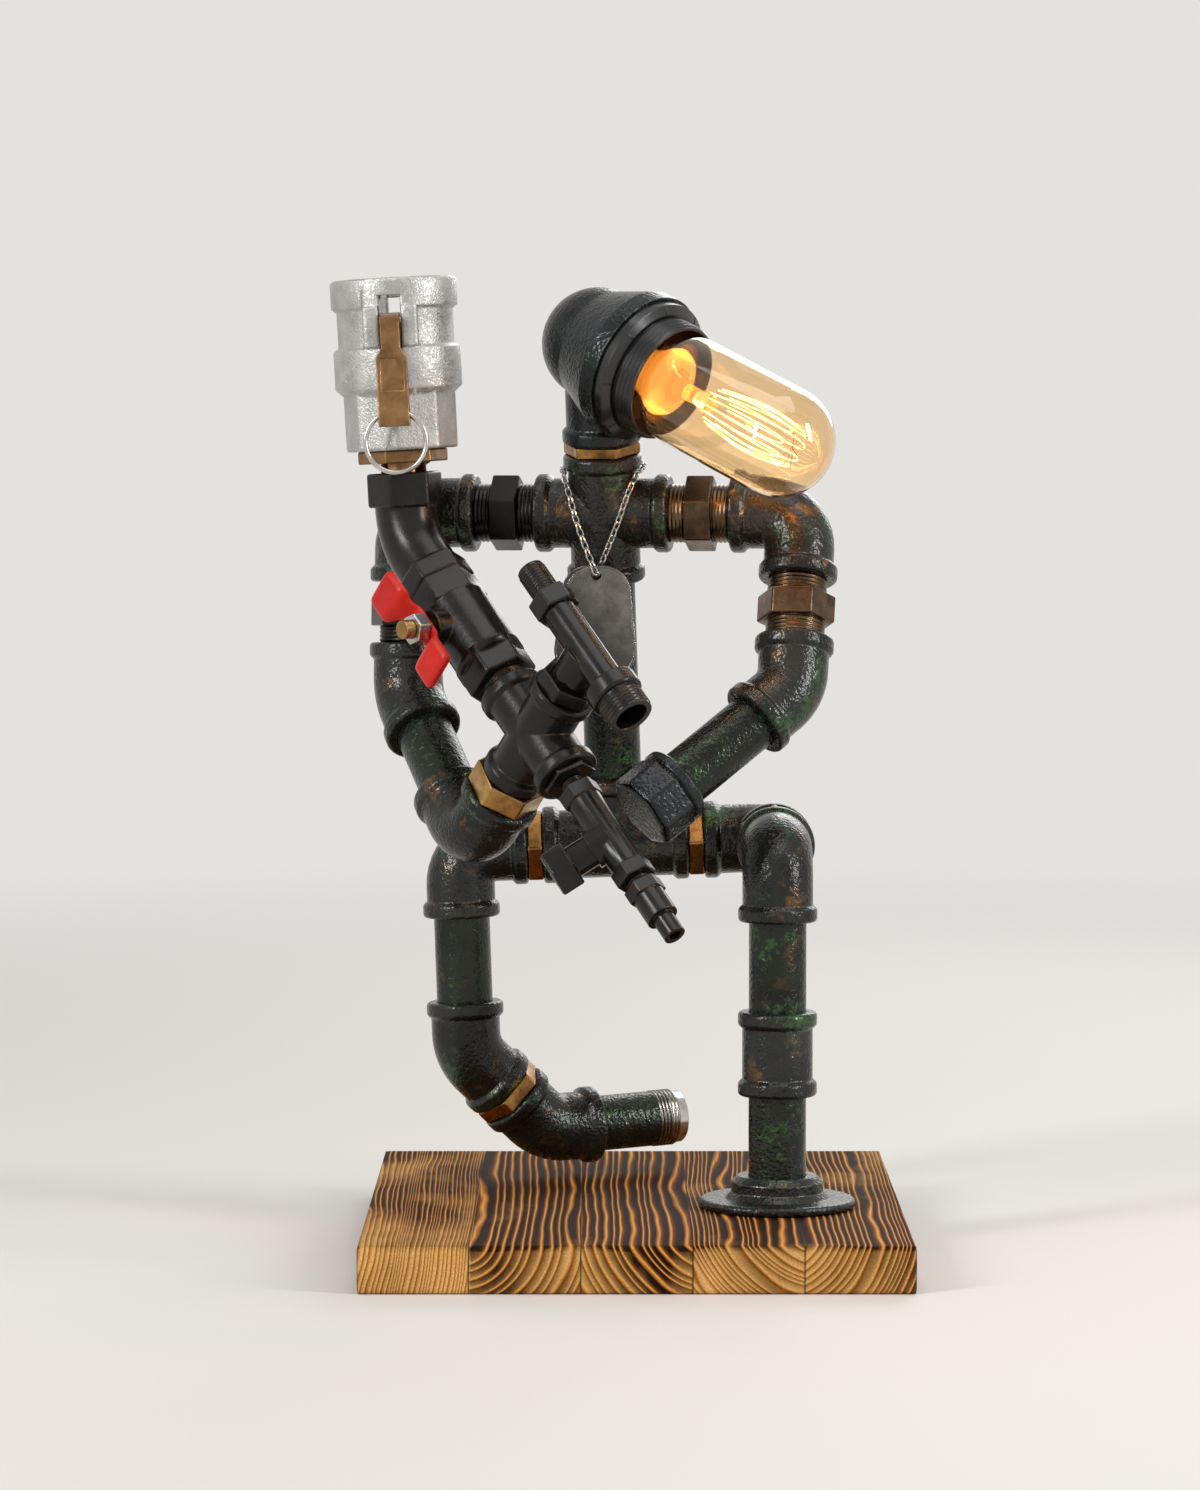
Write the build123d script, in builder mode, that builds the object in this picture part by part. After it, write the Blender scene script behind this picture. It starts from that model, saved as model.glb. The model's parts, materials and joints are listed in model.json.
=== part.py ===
"""A kneeling figure of malleable pipe fittings that is a lamp and a spirits dispenser.

Millimetres, +Z up, the viewer stands on the -Y side. The origin is the middle of the base's underside.
Every fitting is placed by a port: a plane whose Z runs along the pipe and whose X is the side to which
the next elbow turns. The skeleton below walks from the base through legs, trunk and arms to the tap.
"""

import os
from collections import namedtuple
from math import cos, radians, sin, sqrt, tan

from build123d import *

os.makedirs("parts", exist_ok=True)

# Fits and cuts
overrun = 1.0
thread_gap = 0.2
running_gap = 0.08
loose_gap = 0.4

# Wood base
base_width = 250.0
base_depth = 300.0
base_thick = 22.0
base_edge = 1.0
leg_x = 66.5
leg_y = -35.0

# Three-quarter inch iron fittings
iron_pipe_radius = 13.45
iron_pipe_wall = 2.65
iron_body_radius = 16.5
iron_bead_radius = 18.5
iron_bead_length = 6.0
iron_bead_round = 1.9
iron_socket_depth = 15.5
iron_engagement = 14.0
iron_elbow_reach = 33.0
iron_bend_reach = 25.0
iron_tee_reach = 35.0
iron_cross_reach = 32.0
neck_reach = 29.0

# Half inch fittings of the dispenser
tap_pipe_radius = 10.65
tap_pipe_wall = 2.6
tap_body_radius = 13.3
tap_bead_radius = 15.4
tap_bead_length = 5.5
tap_bead_round = 1.6
tap_socket_depth = 13.0
tap_engagement = 11.5
tap_cross_reach = 28.0

# Standing leg
flange_radius = 36.5
flange_thick = 4.5
flange_hub_radius = 21.5
flange_height = 15.0
flange_round = 3.0
leg_gap_low = 37.5
leg_gap_high = 42.0
socket_length = 39.5
back_nut_height = 9.0
back_nut_across = 40.0
back_nut_gap = 1.2
recess_radius = 27.0
recess_depth = 12.0

# Nipples with a hexagon
short_gap = 7.4
neck_gap = 5.4
thigh_gap = 14.0
long_gap = 29.0
nipple_hex = 32.0
long_hex_length = 13.0
grip_gap = 11.8
grip_hex = 31.0

# Plain pipe lengths that show
thigh_pipe_gap = 41.0
foot_pipe_gap = 37.0
spine_gap = 95.5
forearm_right_gap = 47.0
forearm_left_gap = 39.0

# Foot bushing with the cable way
bushing_across = 30.0
bushing_head = 9.0
bushing_bore_radius = 4.5

# Hand cap, an eight sided malleable cap
cap_across = 35.0
cap_body_length = 19.0
cap_wall = 4.0

# Turns of the joints, in degrees
hip_roll = 2.0
trunk_lean = 11.5
chest_yaw = -10.0
right_arm_lean = 32.5
right_elbow_turn = -20.5
left_arm_lean = 15.0
left_elbow_turn = 51.5
left_hand_turn = -5.5
tap_turn = -169.0
tap_bend_turn = -1.5
foot_turn = -24.0
head_azimuth = -33.0
head_turn = 107.0
lever_turn = -42.0

# Head elbow and lamp
head_inlet = 47.0
head_outlet = 30.0
head_round = 26.5
head_rim_radius = 35.5
head_rim_length = 8.0
head_bore_radius = 30.0
head_bore_depth = 6.2
holder_plug_length = 5.5
holder_flange_radius = 34.0
holder_flange_thick = 5.0
holder_cone_length = 2.0
holder_cone_radius = 30.0
sleeve_radius = 27.8
sleeve_length = 11.0
sleeve_wall = 1.3
holder_floor = 4.0
holder_cup_radius = 16.6
holder_cup_reach = 33.0
shell_radius = 14.6
shell_wall = 0.6
shell_length = 22.0
contact_radius = 4.5
contact_height = 3.0
bulb_cap_radius = 13.2
bulb_cap_length = 24.0
bulb_cap_wall = 0.8
bulb_tip_radius = 5.0
bulb_tip_height = 2.6
bulb_radius = 26.0
bulb_glass_length = 111.0
bulb_neck_length = 24.0
bulb_wall = 1.2
stem_radius = 4.6
stem_length = 44.0
stem_flare_length = 10.0
filament_radius = 11.0
filament_wire = 0.7
filament_length = 50.0
filament_strands = 8

# Chain and tags
chain_radius = 0.9
chain_bend = 1.3
chain_collar = 19.6
chain_collar_height = 21.6
chain_front = 21.0
chain_drop = 23.6
tag_width = 31.0
tag_length = 53.0
tag_thick = 1.1
tag_corner = 13.0
tag_hole_radius = 2.5
tag_hole_inset = 4.0
tag_spacing = 1.5
tag_rim = 0.9
hole_back_reach = 5.9
hole_front_reach = 5.0
tag_rim_height = 0.35
chain_share = {"strand_angle": 65, "inner": 3 / 4, "low": 1 / 2, "fall": 1 / 7, "rear": 1 / 3, "back": 2 / 3}
tag_tilt_front = 5.0
tag_tilt_back = -7.0
tag_hinge_front = 27.0

# Cam coupling
coupling_height = 80.0
coupling_rim_radius = 29.7
coupling_rim_height = 13.0
coupling_waist_radius = 27.3
coupling_ring_radius = 29.8
coupling_ring_low = 29.3
coupling_ring_high = 46.8
coupling_step = 2.0
coupling_hex_across = 49.0
coupling_hex_height = 26.5
coupling_bore_radius = 23.0
coupling_bore_depth = 44.0
coupling_thread_radius = 16.4
coupling_edge = 1.2
gasket_radius = 22.6
gasket_hole_radius = 14.5
gasket_thick = 5.0
bushing_flange_across = 37.0
bushing_flange_height = 6.0
bushing_neck_gap = 4.5
bushing_screw_depth = 14.0

# Cam levers
lever_pin_radius = 2.0
lever_pin_reach = 26.8
lever_pin_height = 60.0
lever_boss_width = 25.4
lever_boss_radius = 30.0
lever_boss_low = 47.5
lever_slot_width = 10.0
lever_slot_low = 45.0
lever_slot_high = 72.0
lever_width = 9.0
lever_wide_width = 14.4
lever_thick = 4.0
lever_head_radius = 3.7
lever_cam_radius = 7.0
lever_narrow_end = 47.5
lever_wide_start = 42.5
lever_end_height = 11.0
lever_hole_height = 18.0
lever_hole_radius = 2.6
lever_clear = 0.6
lever_panel_depth = 0.7
lever_block_thick = 7.0
lever_block_height = 25.5
lever_hole_drop = 0.8
lever_hole_out = 0.4
ring_radius = 14.1
ring_wire = 1.15
back_ring_swing = 20.0

# Tap bend, valve and handle
tap_bend_inlet = 34.0
tap_bend_outlet = 31.3
tap_bend_angle = 45.0
tap_bend_hex = 31.0
tap_bend_low_hex = 31.0
tap_bend_low_length = 11.0
tap_bend_top_length = 16.0
tap_bend_radius = 14.5
valve_end_neck = 5.0
valve_end_hex = 30.0
valve_end_hex_length = 11.0
valve_collar_radius = 16.6
valve_collar_length = 5.0
valve_body_radius = 16.0
valve_body_length = 45.0
valve_hex = 30.0
valve_hex_length = 13.0
valve_ball_radius = 11.0
valve_ball_bore = 7.0
valve_ball_place = 21.0
valve_cavity_radius = 12.2
seat_thick = 4.0
stem_boss_radius = 8.5
stem_boss_reach = 22.0
valve_stem_radius = 4.2
valve_stem_reach = 38.0
tang_thick = 3.6
tang_depth = 4.0
handle_seat = 23.5
handle_thick = 2.6
handle_hub_half = 9.5
handle_hub_width = 13.0
handle_rise = 8.0
handle_wing_half = 29.5
handle_wing_width = 22.0
handle_corner = 4.0
nut_across = 13.0
nut_height = 6.5

# Scope tee on top of the dispenser
scope_place = 52.0
scope_hex = 25.0
scope_nipple_radius = 7.0
scope_radius = 8.0
scope_branch_radius = 10.0
scope_branch_reach = 16.0
scope_rear = 26.0
scope_front = 20.0
scope_collar_radius = 12.4
scope_collar_length = 9.0
scope_mouth_radius = 10.4
scope_mouth_length = 11.5
scope_plug_hex = 19.0
scope_plug_hex_length = 10.0
scope_plug_radius = 6.4
scope_plug_length = 17.5
scope_plug_shank = 4.6
scope_plug_depth = 10.0
scope_plug_bore = 2.6

# Barrel and magazine
barrel_bushing_gap = 3.0
barrel_bushing_hex = 22.0
barrel_bore = 2.6
barrel_neck_radius = 5.0
barrel_neck_gap = 5.0
barrel_rear_radius = 8.0
barrel_rear_hex = 17.0
barrel_rear_hex_length = 7.5
barrel_rear_length = 56.0
barrel_mid_gap = 4.0
barrel_front_hex = 15.6
barrel_front_hex_length = 6.0
barrel_front_radius = 7.4
barrel_front_length = 19.0
muzzle_radius = 5.1
muzzle_length = 11.0
muzzle_bore = 3.0
barrel_screw = 8.0
magazine_place = 30.5
magazine_turn = -45.0
magazine_boss_radius = 9.2
magazine_boss_reach = 10.0
magazine_shank_radius = 7.4
magazine_shank_gap = 10.0
magazine_shank_depth = 2.6
magazine_hex = 21.0
magazine_hex_length = 11.0
magazine_dish_radius = 6.0
magazine_dish_depth = 3.0

Family = namedtuple("Family", "pipe wall body bead bead_length bead_round socket_depth engagement")
iron = Family(
    iron_pipe_radius,
    iron_pipe_wall,
    iron_body_radius,
    iron_bead_radius,
    iron_bead_length,
    iron_bead_round,
    iron_socket_depth,
    iron_engagement,
)
tap = Family(
    tap_pipe_radius,
    tap_pipe_wall,
    tap_body_radius,
    tap_bead_radius,
    tap_bead_length,
    tap_bead_round,
    tap_socket_depth,
    tap_engagement,
)


# Ports


def turned(port, angle):
    """The port turned about its own axis."""
    return Plane(port.location * Rotation(0, 0, angle))


def bent(port, angle):
    """The port with its axis turned towards its X side."""
    return Plane(port.location * Rotation(0, angle, 0))


def beyond(port, reach, angle):
    """The outlet port of an elbow whose two ends are each one reach from its corner."""
    return bent(port.offset(reach), angle).offset(reach)


def facing_back(port):
    """The same place, looking the other way."""
    return Plane(port.origin, x_dir=port.x_dir, z_dir=-port.z_dir)


def side(port):
    """The plane of a turned profile: across is the radius, up is the way along the port."""
    return Plane(port.origin, x_dir=port.x_dir, z_dir=-port.y_dir)


def axis_of(port):
    return Axis(port.origin, port.z_dir)


# Skeleton: the standing leg, the hips and the kneeling leg
leg_floor = Plane((leg_x, leg_y, base_thick), x_dir=(0, 1, 0), z_dir=(0, 0, 1))
flange_top = leg_floor.offset(flange_height)
socket_in = flange_top.offset(leg_gap_low)
socket_out = socket_in.offset(socket_length)
knee_right_in = socket_out.offset(leg_gap_high)
knee_right_out = beyond(knee_right_in, iron_elbow_reach, 90)
hip_right_in = turned(knee_right_out.offset(thigh_gap), 90 - hip_roll)
hip_right_out = beyond(hip_right_in, iron_elbow_reach, 90)
hip_tee_in = hip_right_out.offset(short_gap)
hip_centre = hip_tee_in.offset(iron_tee_reach)
hip_tee_out = hip_centre.offset(iron_tee_reach)
hip_left_in = turned(hip_tee_out.offset(short_gap), -90)
hip_left_out = beyond(hip_left_in, iron_elbow_reach, 90)
knee_left_in = turned(hip_left_out.offset(thigh_pipe_gap), foot_turn)
knee_left_out = beyond(knee_left_in, iron_bend_reach, 45)
shin_left_in = knee_left_out.offset(short_gap)
shin_left_out = beyond(shin_left_in, iron_bend_reach, 45)
foot_end = shin_left_out.offset(foot_pipe_gap)

# Skeleton: trunk, neck and head
spine = bent(turned(hip_centre, 90 - trunk_lean), 90)
spine_in = spine.offset(iron_tee_reach)
chest_in = spine_in.offset(spine_gap)
chest = turned(chest_in.offset(iron_cross_reach), chest_yaw)
neck_in = chest.offset(neck_reach)
head_in = turned(neck_in.offset(neck_gap), head_azimuth)
head_corner = head_in.offset(head_inlet)
head_out = bent(head_corner, head_turn).offset(head_outlet)

# Skeleton: right arm
shoulder_right_face = bent(chest, 90).offset(iron_cross_reach)
shoulder_right_in = turned(shoulder_right_face.offset(long_gap), -right_arm_lean)
shoulder_right_out = beyond(shoulder_right_in, iron_elbow_reach, 90)
arm_right_in = turned(shoulder_right_out.offset(long_gap), right_elbow_turn)
arm_right_out = beyond(arm_right_in, iron_bend_reach, 45)
hand_right_in = arm_right_out.offset(forearm_right_gap)

# Skeleton: left arm and the dispenser that it holds
shoulder_left_face = bent(chest, -90).offset(iron_cross_reach)
shoulder_left_in = turned(shoulder_left_face.offset(long_gap), 180 + left_arm_lean)
shoulder_left_out = beyond(shoulder_left_in, iron_elbow_reach, 90)
arm_left_in = turned(shoulder_left_out.offset(long_gap), left_elbow_turn)
arm_left_out = beyond(arm_left_in, iron_bend_reach, 45)
hand_left_in = turned(arm_left_out.offset(forearm_left_gap), left_hand_turn)
hand_left_out = beyond(hand_left_in, iron_elbow_reach, 90)
tap_centre = turned(hand_left_out.offset(grip_gap + tap_cross_reach), tap_turn)
scope_port = tap_centre.offset(tap_cross_reach)
barrel_port = bent(tap_centre, 90).offset(tap_cross_reach)
valve_port = bent(tap_centre, -90).offset(tap_cross_reach)
valve_end_length = valve_end_neck + valve_end_hex_length + valve_collar_length
valve_in = valve_port.offset(valve_end_length)
valve_ball_centre = valve_in.offset(valve_ball_place)
stem_port = Plane(valve_ball_centre.origin, x_dir=valve_port.z_dir, z_dir=-valve_port.y_dir)
valve_out = valve_in.offset(valve_body_length)
tap_bend_in = turned(valve_out, tap_bend_turn)
tap_bend_corner = tap_bend_in.offset(tap_bend_inlet)
tap_bend_out = bent(tap_bend_corner, tap_bend_angle).offset(tap_bend_outlet)
bushing_exposed = bushing_flange_height + bushing_neck_gap
coupling_in = turned(tap_bend_out.offset(bushing_exposed), lever_turn)


# Building blocks, used inside a part


def rings(port, outline, round_corners=0):
    """A solid turned about the port from (radius, height) points; the widest corners may be rounded."""
    with BuildSketch(side(port)) as profile:
        with BuildLine():
            Polyline(*outline, close=True)
        make_face()
        if round_corners:
            fillet(profile.vertices().group_by(Axis.X)[-1], round_corners)
    revolve(profile.sketch, axis=axis_of(port))


def bore(port, radius, depth, start=0):
    """A round hole from just outside the port's face, or from a start inside it."""
    lead = 0 if start else overrun
    with BuildSketch(port.offset(start - lead)) as hole:
        Circle(radius)
    extrude(hole.sketch, amount=depth + lead, mode=Mode.SUBTRACT)


def rod(port, radius, length, start=0):
    with BuildSketch(port.offset(start)) as disc:
        Circle(radius)
    extrude(disc.sketch, amount=length)


def prism(port, across, length, start=0, sides=6, spin=0):
    """A nut-like prism, given by its width across the flats."""
    with BuildSketch(port.offset(start)) as outline:
        RegularPolygon(across / 2, sides, major_radius=False, rotation=spin)
    extrude(outline.sketch, amount=length)


def band(port, family):
    """The banded mouth of a cast fitting; the port looks into the fitting."""
    step = family.bead - family.body
    outline = [
        (0, 0),
        (family.bead, 0),
        (family.bead, family.bead_length),
        (family.body, family.bead_length + step),
        (family.body, family.bead_length + 2 * step),
        (0, family.bead_length + 2 * step),
    ]
    rings(port, outline, family.bead_round)


def elbow(name, inlet, reach, angle, family):
    """A banded female elbow."""
    outlet = beyond(inlet, reach, angle)
    back = facing_back(outlet)
    corner = inlet.offset(reach).origin
    bend_radius = (reach - family.socket_depth) / tan(radians(angle / 2))
    with BuildPart() as fitting:
        with BuildLine() as route:
            FilletPolyline(inlet.origin, corner, outlet.origin, radius=bend_radius)
        with BuildSketch(inlet):
            Circle(family.body)
        sweep(path=route.line)
        band(inlet, family)
        band(back, family)
        with BuildSketch(inlet):
            Circle(family.pipe - family.wall)
        sweep(path=route.line, mode=Mode.SUBTRACT)
        bore(inlet, family.pipe + thread_gap, family.socket_depth)
        bore(back, family.pipe + thread_gap, family.socket_depth)
    save(name, fitting)


def hub(name, runs, family):
    """A tee or a cross; each port looks into the fitting and comes with the length of its run."""
    with BuildPart() as fitting:
        for port, length in runs:
            rod(port, family.body, length)
        for port, length in runs:
            band(port, family)
        for port, length in runs:
            bore(port, family.pipe + thread_gap, family.socket_depth)
            bore(port, family.pipe - family.wall, length - family.socket_depth, start=family.socket_depth)
    save(name, fitting)


def tube(face, gap, family):
    """A pipe from inside the fitting behind the face to inside the fitting after the gap."""
    length = gap + 2 * family.engagement
    start = -family.engagement
    with BuildSketch(face.offset(start)) as section:
        Circle(family.pipe)
        Circle(family.pipe - family.wall, mode=Mode.SUBTRACT)
    extrude(section.sketch, amount=length)


def pipe_piece(name, face, gap, family):
    with BuildPart() as pipe:
        tube(face, gap, family)
    save(name, pipe)


def hex_collar(face, gap, hex_length, across, family):
    """The hexagon in the middle of a nipple's gap."""
    with BuildSketch(face.offset((gap - hex_length) / 2)) as collar:
        RegularPolygon(across / 2, 6, major_radius=False)
        Circle(family.pipe - family.wall, mode=Mode.SUBTRACT)
    extrude(collar.sketch, amount=hex_length)


def save(name, built):
    built.part.label = name
    export_step(built.part, "parts/" + name + ".step")


# Base, flange and back nut
with BuildPart() as wood_base:
    with BuildSketch(Plane.XY):
        Rectangle(base_width, base_depth)
    extrude(amount=base_thick)
    chamfer(wood_base.edges(), base_edge)
    through = facing_back(leg_floor)
    bore(through, iron_pipe_radius + loose_gap, base_thick + overrun)
    with BuildSketch(Plane.XY.offset(-overrun)):
        with Locations((leg_x, leg_y)):
            Circle(recess_radius)
    extrude(amount=recess_depth + overrun, mode=Mode.SUBTRACT)
save("wood_base", wood_base)

with BuildPart() as floor_flange:
    flange_outline = [
        (0, 0),
        (flange_radius, 0),
        (flange_radius, flange_thick),
        (flange_hub_radius + flange_round, flange_thick),
        (flange_hub_radius, flange_thick + flange_round),
        (flange_hub_radius, flange_height - flange_round),
        (flange_hub_radius - flange_round, flange_height),
        (0, flange_height),
    ]
    rings(leg_floor, flange_outline, iron_bead_round)
    bore(leg_floor, iron_pipe_radius + thread_gap, flange_height + overrun)
save("floor_flange", floor_flange)

back_nut_face = Plane((leg_x, leg_y, recess_depth), x_dir=(0, 1, 0), z_dir=(0, 0, -1))
with BuildPart() as back_nut:
    prism(back_nut_face, back_nut_across, back_nut_height)
    bore(back_nut_face, iron_pipe_radius + thread_gap, back_nut_height + overrun)
save("back_nut", back_nut)

# Standing leg
leg_nipple_foot = back_nut_face.offset(back_nut_height - back_nut_gap)
leg_nipple_low_length = socket_in.origin.Z + iron_engagement - leg_nipple_foot.origin.Z
with BuildPart() as leg_nipple_lower:
    with BuildSketch(facing_back(leg_nipple_foot)):
        Circle(iron_pipe_radius)
        Circle(iron_pipe_radius - iron_pipe_wall, mode=Mode.SUBTRACT)
    extrude(amount=leg_nipple_low_length)
save("leg_nipple_lower", leg_nipple_lower)

with BuildPart() as leg_socket:
    socket_outline = [
        (0, 0),
        (iron_bead_radius, 0),
        (iron_bead_radius, iron_bead_length),
        (iron_body_radius, iron_bead_length + iron_bead_radius - iron_body_radius),
        (iron_body_radius, socket_length - iron_bead_length - iron_bead_radius + iron_body_radius),
        (iron_bead_radius, socket_length - iron_bead_length),
        (iron_bead_radius, socket_length),
        (0, socket_length),
    ]
    rings(socket_in, socket_outline, iron_bead_round)
    bore(socket_in, iron_pipe_radius + thread_gap, socket_length + overrun)
save("leg_socket", leg_socket)

with BuildPart() as leg_pipes:
    tube(socket_out, leg_gap_high, iron)
    tube(hip_left_out, thigh_pipe_gap, iron)
save("leg_pipes", leg_pipes)

elbow("knee_elbow_right", knee_right_in, iron_elbow_reach, 90, iron)
elbow("hip_elbow_right", hip_right_in, iron_elbow_reach, 90, iron)
hip_runs = [
    (hip_tee_in, 2 * iron_tee_reach),
    (facing_back(hip_tee_out), iron_tee_reach),
    (facing_back(spine_in), iron_tee_reach),
]
hub("hip_tee", hip_runs, iron)
elbow("hip_elbow_left", hip_left_in, iron_elbow_reach, 90, iron)

# Kneeling leg
elbow("knee_bend_left", knee_left_in, iron_bend_reach, 45, iron)
elbow("shin_bend_left", shin_left_in, iron_bend_reach, 45, iron)

with BuildPart() as foot_pipe:
    with BuildSketch(shin_left_out.offset(-iron_engagement)):
        Circle(iron_pipe_radius)
        Circle(iron_pipe_radius - iron_pipe_wall, mode=Mode.SUBTRACT)
    extrude(amount=foot_pipe_gap + iron_engagement)
save("foot_pipe", foot_pipe)

with BuildPart() as foot_bushing:
    prism(foot_end, bushing_across, bushing_head)
    chamfer(foot_bushing.faces().sort_by(axis_of(foot_end))[-1].edges(), iron_bead_round)
    rod(foot_end, iron_pipe_radius - iron_pipe_wall - thread_gap, iron_engagement, start=-iron_engagement)
    bore(foot_end, bushing_bore_radius, bushing_head + iron_engagement + overrun, start=-iron_engagement)
save("foot_bushing", foot_bushing)

# Hexagon nipples; identical ones share a node
short_faces = [(hip_right_out, short_gap), (hip_tee_out, short_gap), (knee_left_out, short_gap), (neck_in, neck_gap)]
with BuildPart() as short_nipples:
    for face, gap in short_faces + [(knee_right_out, thigh_gap)]:
        tube(face, gap, iron)
        hex_collar(face, gap, gap, nipple_hex, iron)
save("short_nipples", short_nipples)

long_faces = [shoulder_right_face, shoulder_right_out, shoulder_left_face, shoulder_left_out]
with BuildPart() as long_nipples:
    for face in long_faces:
        tube(face, long_gap, iron)
        hex_collar(face, long_gap, long_hex_length, nipple_hex, iron)
save("long_nipples", long_nipples)

# Trunk and arms
pipe_piece("spine_pipe", spine_in, spine_gap, iron)
chest_runs = [
    (chest_in, iron_cross_reach + neck_reach),
    (facing_back(shoulder_right_face), 2 * iron_cross_reach),
    (facing_back(neck_in), neck_reach),
    (facing_back(shoulder_left_face), iron_cross_reach),
]
hub("chest_cross", chest_runs, iron)
elbow("shoulder_elbow_right", shoulder_right_in, iron_elbow_reach, 90, iron)
elbow("shoulder_elbow_left", shoulder_left_in, iron_elbow_reach, 90, iron)
elbow("arm_bend_right", arm_right_in, iron_bend_reach, 45, iron)
elbow("arm_bend_left", arm_left_in, iron_bend_reach, 45, iron)
pipe_piece("forearm_pipe_right", arm_right_out, forearm_right_gap, iron)
pipe_piece("forearm_pipe_left", arm_left_out, forearm_left_gap, iron)
elbow("hand_elbow", hand_left_in, iron_elbow_reach, 90, iron)

with BuildPart() as hand_cap:
    prism(hand_right_in, cap_across, cap_body_length, start=iron_bead_length, sides=8)
    chamfer(hand_cap.faces().sort_by(axis_of(hand_right_in))[-1].edges(), iron_bead_round)
    bead_outline = [(0, 0), (iron_bead_radius, 0), (iron_bead_radius, iron_bead_length), (0, iron_bead_length)]
    rings(hand_right_in, bead_outline, iron_bead_round)
    bore(hand_right_in, iron_pipe_radius + thread_gap, iron_bead_length + cap_body_length - cap_wall)
save("hand_cap", hand_cap)

# Grip nipple, from the iron elbow to the smaller cross of the dispenser
with BuildPart() as grip_nipple:
    rod(hand_left_out, iron_pipe_radius, iron_engagement, start=-iron_engagement)
    prism(hand_left_out, grip_hex, grip_gap)
    rod(hand_left_out, tap_pipe_radius, tap_engagement, start=grip_gap)
    grip_length = iron_engagement + grip_gap + tap_engagement
    bore(hand_left_out, tap_pipe_radius - tap_pipe_wall, grip_length + overrun, start=-iron_engagement)
save("grip_nipple", grip_nipple)

# Head elbow: a round cast shoulder that opens to the lamp
head_axis_port = bent(head_corner, head_turn)
with BuildPart() as head_elbow:
    with BuildSketch(side(head_axis_port)):
        with BuildLine():
            CenterArc((0, 0), head_round, -90, 90)
            Polyline(
                (head_round, 0),
                (head_rim_radius, head_outlet - head_rim_length),
                (head_rim_radius, head_outlet),
                (0, head_outlet),
                (0, -head_round),
            )
        make_face()
    revolve(axis=axis_of(head_axis_port))
    rod(head_in, iron_body_radius, head_inlet)
    band(head_in, iron)
    bore(head_in, iron_pipe_radius + thread_gap, iron_socket_depth)
    bore(head_in, iron_pipe_radius - iron_pipe_wall, head_inlet - iron_socket_depth, start=iron_socket_depth)
    head_face = facing_back(head_out)
    bore(head_face, head_bore_radius, head_bore_depth)
    cavity_end = holder_cup_reach + loose_gap
    bore(head_face, holder_cup_radius + loose_gap, cavity_end - head_bore_depth, start=head_bore_depth)
save("head_elbow", head_elbow)

# Lamp holder: a plug in the head, a flange against its rim and a threaded sleeve
holder_top = holder_flange_thick + holder_cone_length + sleeve_length
with BuildPart() as lamp_holder:
    plug_radius = head_bore_radius - loose_gap
    sleeve_start = holder_flange_thick + holder_cone_length
    holder_outline = [
        (0, -holder_cup_reach),
        (holder_cup_radius, -holder_cup_reach),
        (holder_cup_radius, -holder_plug_length),
        (plug_radius, -holder_plug_length),
        (plug_radius, 0),
        (holder_flange_radius, 0),
        (holder_flange_radius, holder_flange_thick),
        (holder_cone_radius, sleeve_start),
        (sleeve_radius, sleeve_start),
        (sleeve_radius, holder_top),
        (0, holder_top),
    ]
    rings(head_out, holder_outline)
    bore(facing_back(head_out.offset(holder_top)), sleeve_radius - sleeve_wall, holder_top)
    bore(facing_back(head_out), shell_radius + loose_gap, holder_cup_reach - holder_floor)
save("lamp_holder", lamp_holder)

holder_floor_port = head_out.offset(holder_floor - holder_cup_reach)
with BuildPart() as lamp_contact:
    with BuildSketch(holder_floor_port):
        Circle(shell_radius)
        Circle(shell_radius - shell_wall, mode=Mode.SUBTRACT)
    extrude(amount=shell_length)
    rod(holder_floor_port, contact_radius, contact_height)
save("lamp_contact", lamp_contact)

# Bulb: cap, glass and lit filament on its stem
bulb_tip_port = holder_floor_port.offset(contact_height + running_gap)
bulb_cap_port = bulb_tip_port.offset(bulb_tip_height)
bulb_glass_port = bulb_cap_port.offset(bulb_cap_length)
with BuildPart() as bulb_cap:
    rod(bulb_tip_port, bulb_tip_radius, bulb_tip_height)
    rod(bulb_cap_port, bulb_cap_radius, bulb_cap_length)
    bore(facing_back(bulb_glass_port), bulb_cap_radius - bulb_cap_wall, bulb_cap_length - bulb_tip_height)
save("bulb_cap", bulb_cap)

glass_neck_radius = bulb_cap_radius - bulb_cap_wall - thread_gap
glass_start = bulb_tip_height - bulb_cap_length + thread_gap
glass_seat = 0
glass_straight = bulb_glass_length - bulb_radius


def glass_outline(inset):
    """Half the section of the glass, drawn in by a wall's thickness."""
    neck = glass_neck_radius - inset
    belly = bulb_radius - inset
    Polyline((0, glass_start + inset), (neck, glass_start + inset), (neck, glass_seat))
    Spline(
        (neck, glass_seat),
        (belly, bulb_neck_length),
        tangents=[(0, 1), (0, 1)],
    )
    Line((belly, bulb_neck_length), (belly, glass_straight))
    RadiusArc((belly, glass_straight), (0, bulb_glass_length - inset), -belly)
    Line((0, bulb_glass_length - inset), (0, glass_start + inset))


with BuildPart() as bulb_glass:
    with BuildSketch(side(bulb_glass_port)):
        with BuildLine():
            glass_outline(0)
        make_face()
    revolve(axis=axis_of(bulb_glass_port))
    with BuildSketch(side(bulb_glass_port)):
        with BuildLine():
            glass_outline(bulb_wall)
        make_face()
    revolve(axis=axis_of(bulb_glass_port), mode=Mode.SUBTRACT)
save("bulb_glass", bulb_glass)

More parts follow.
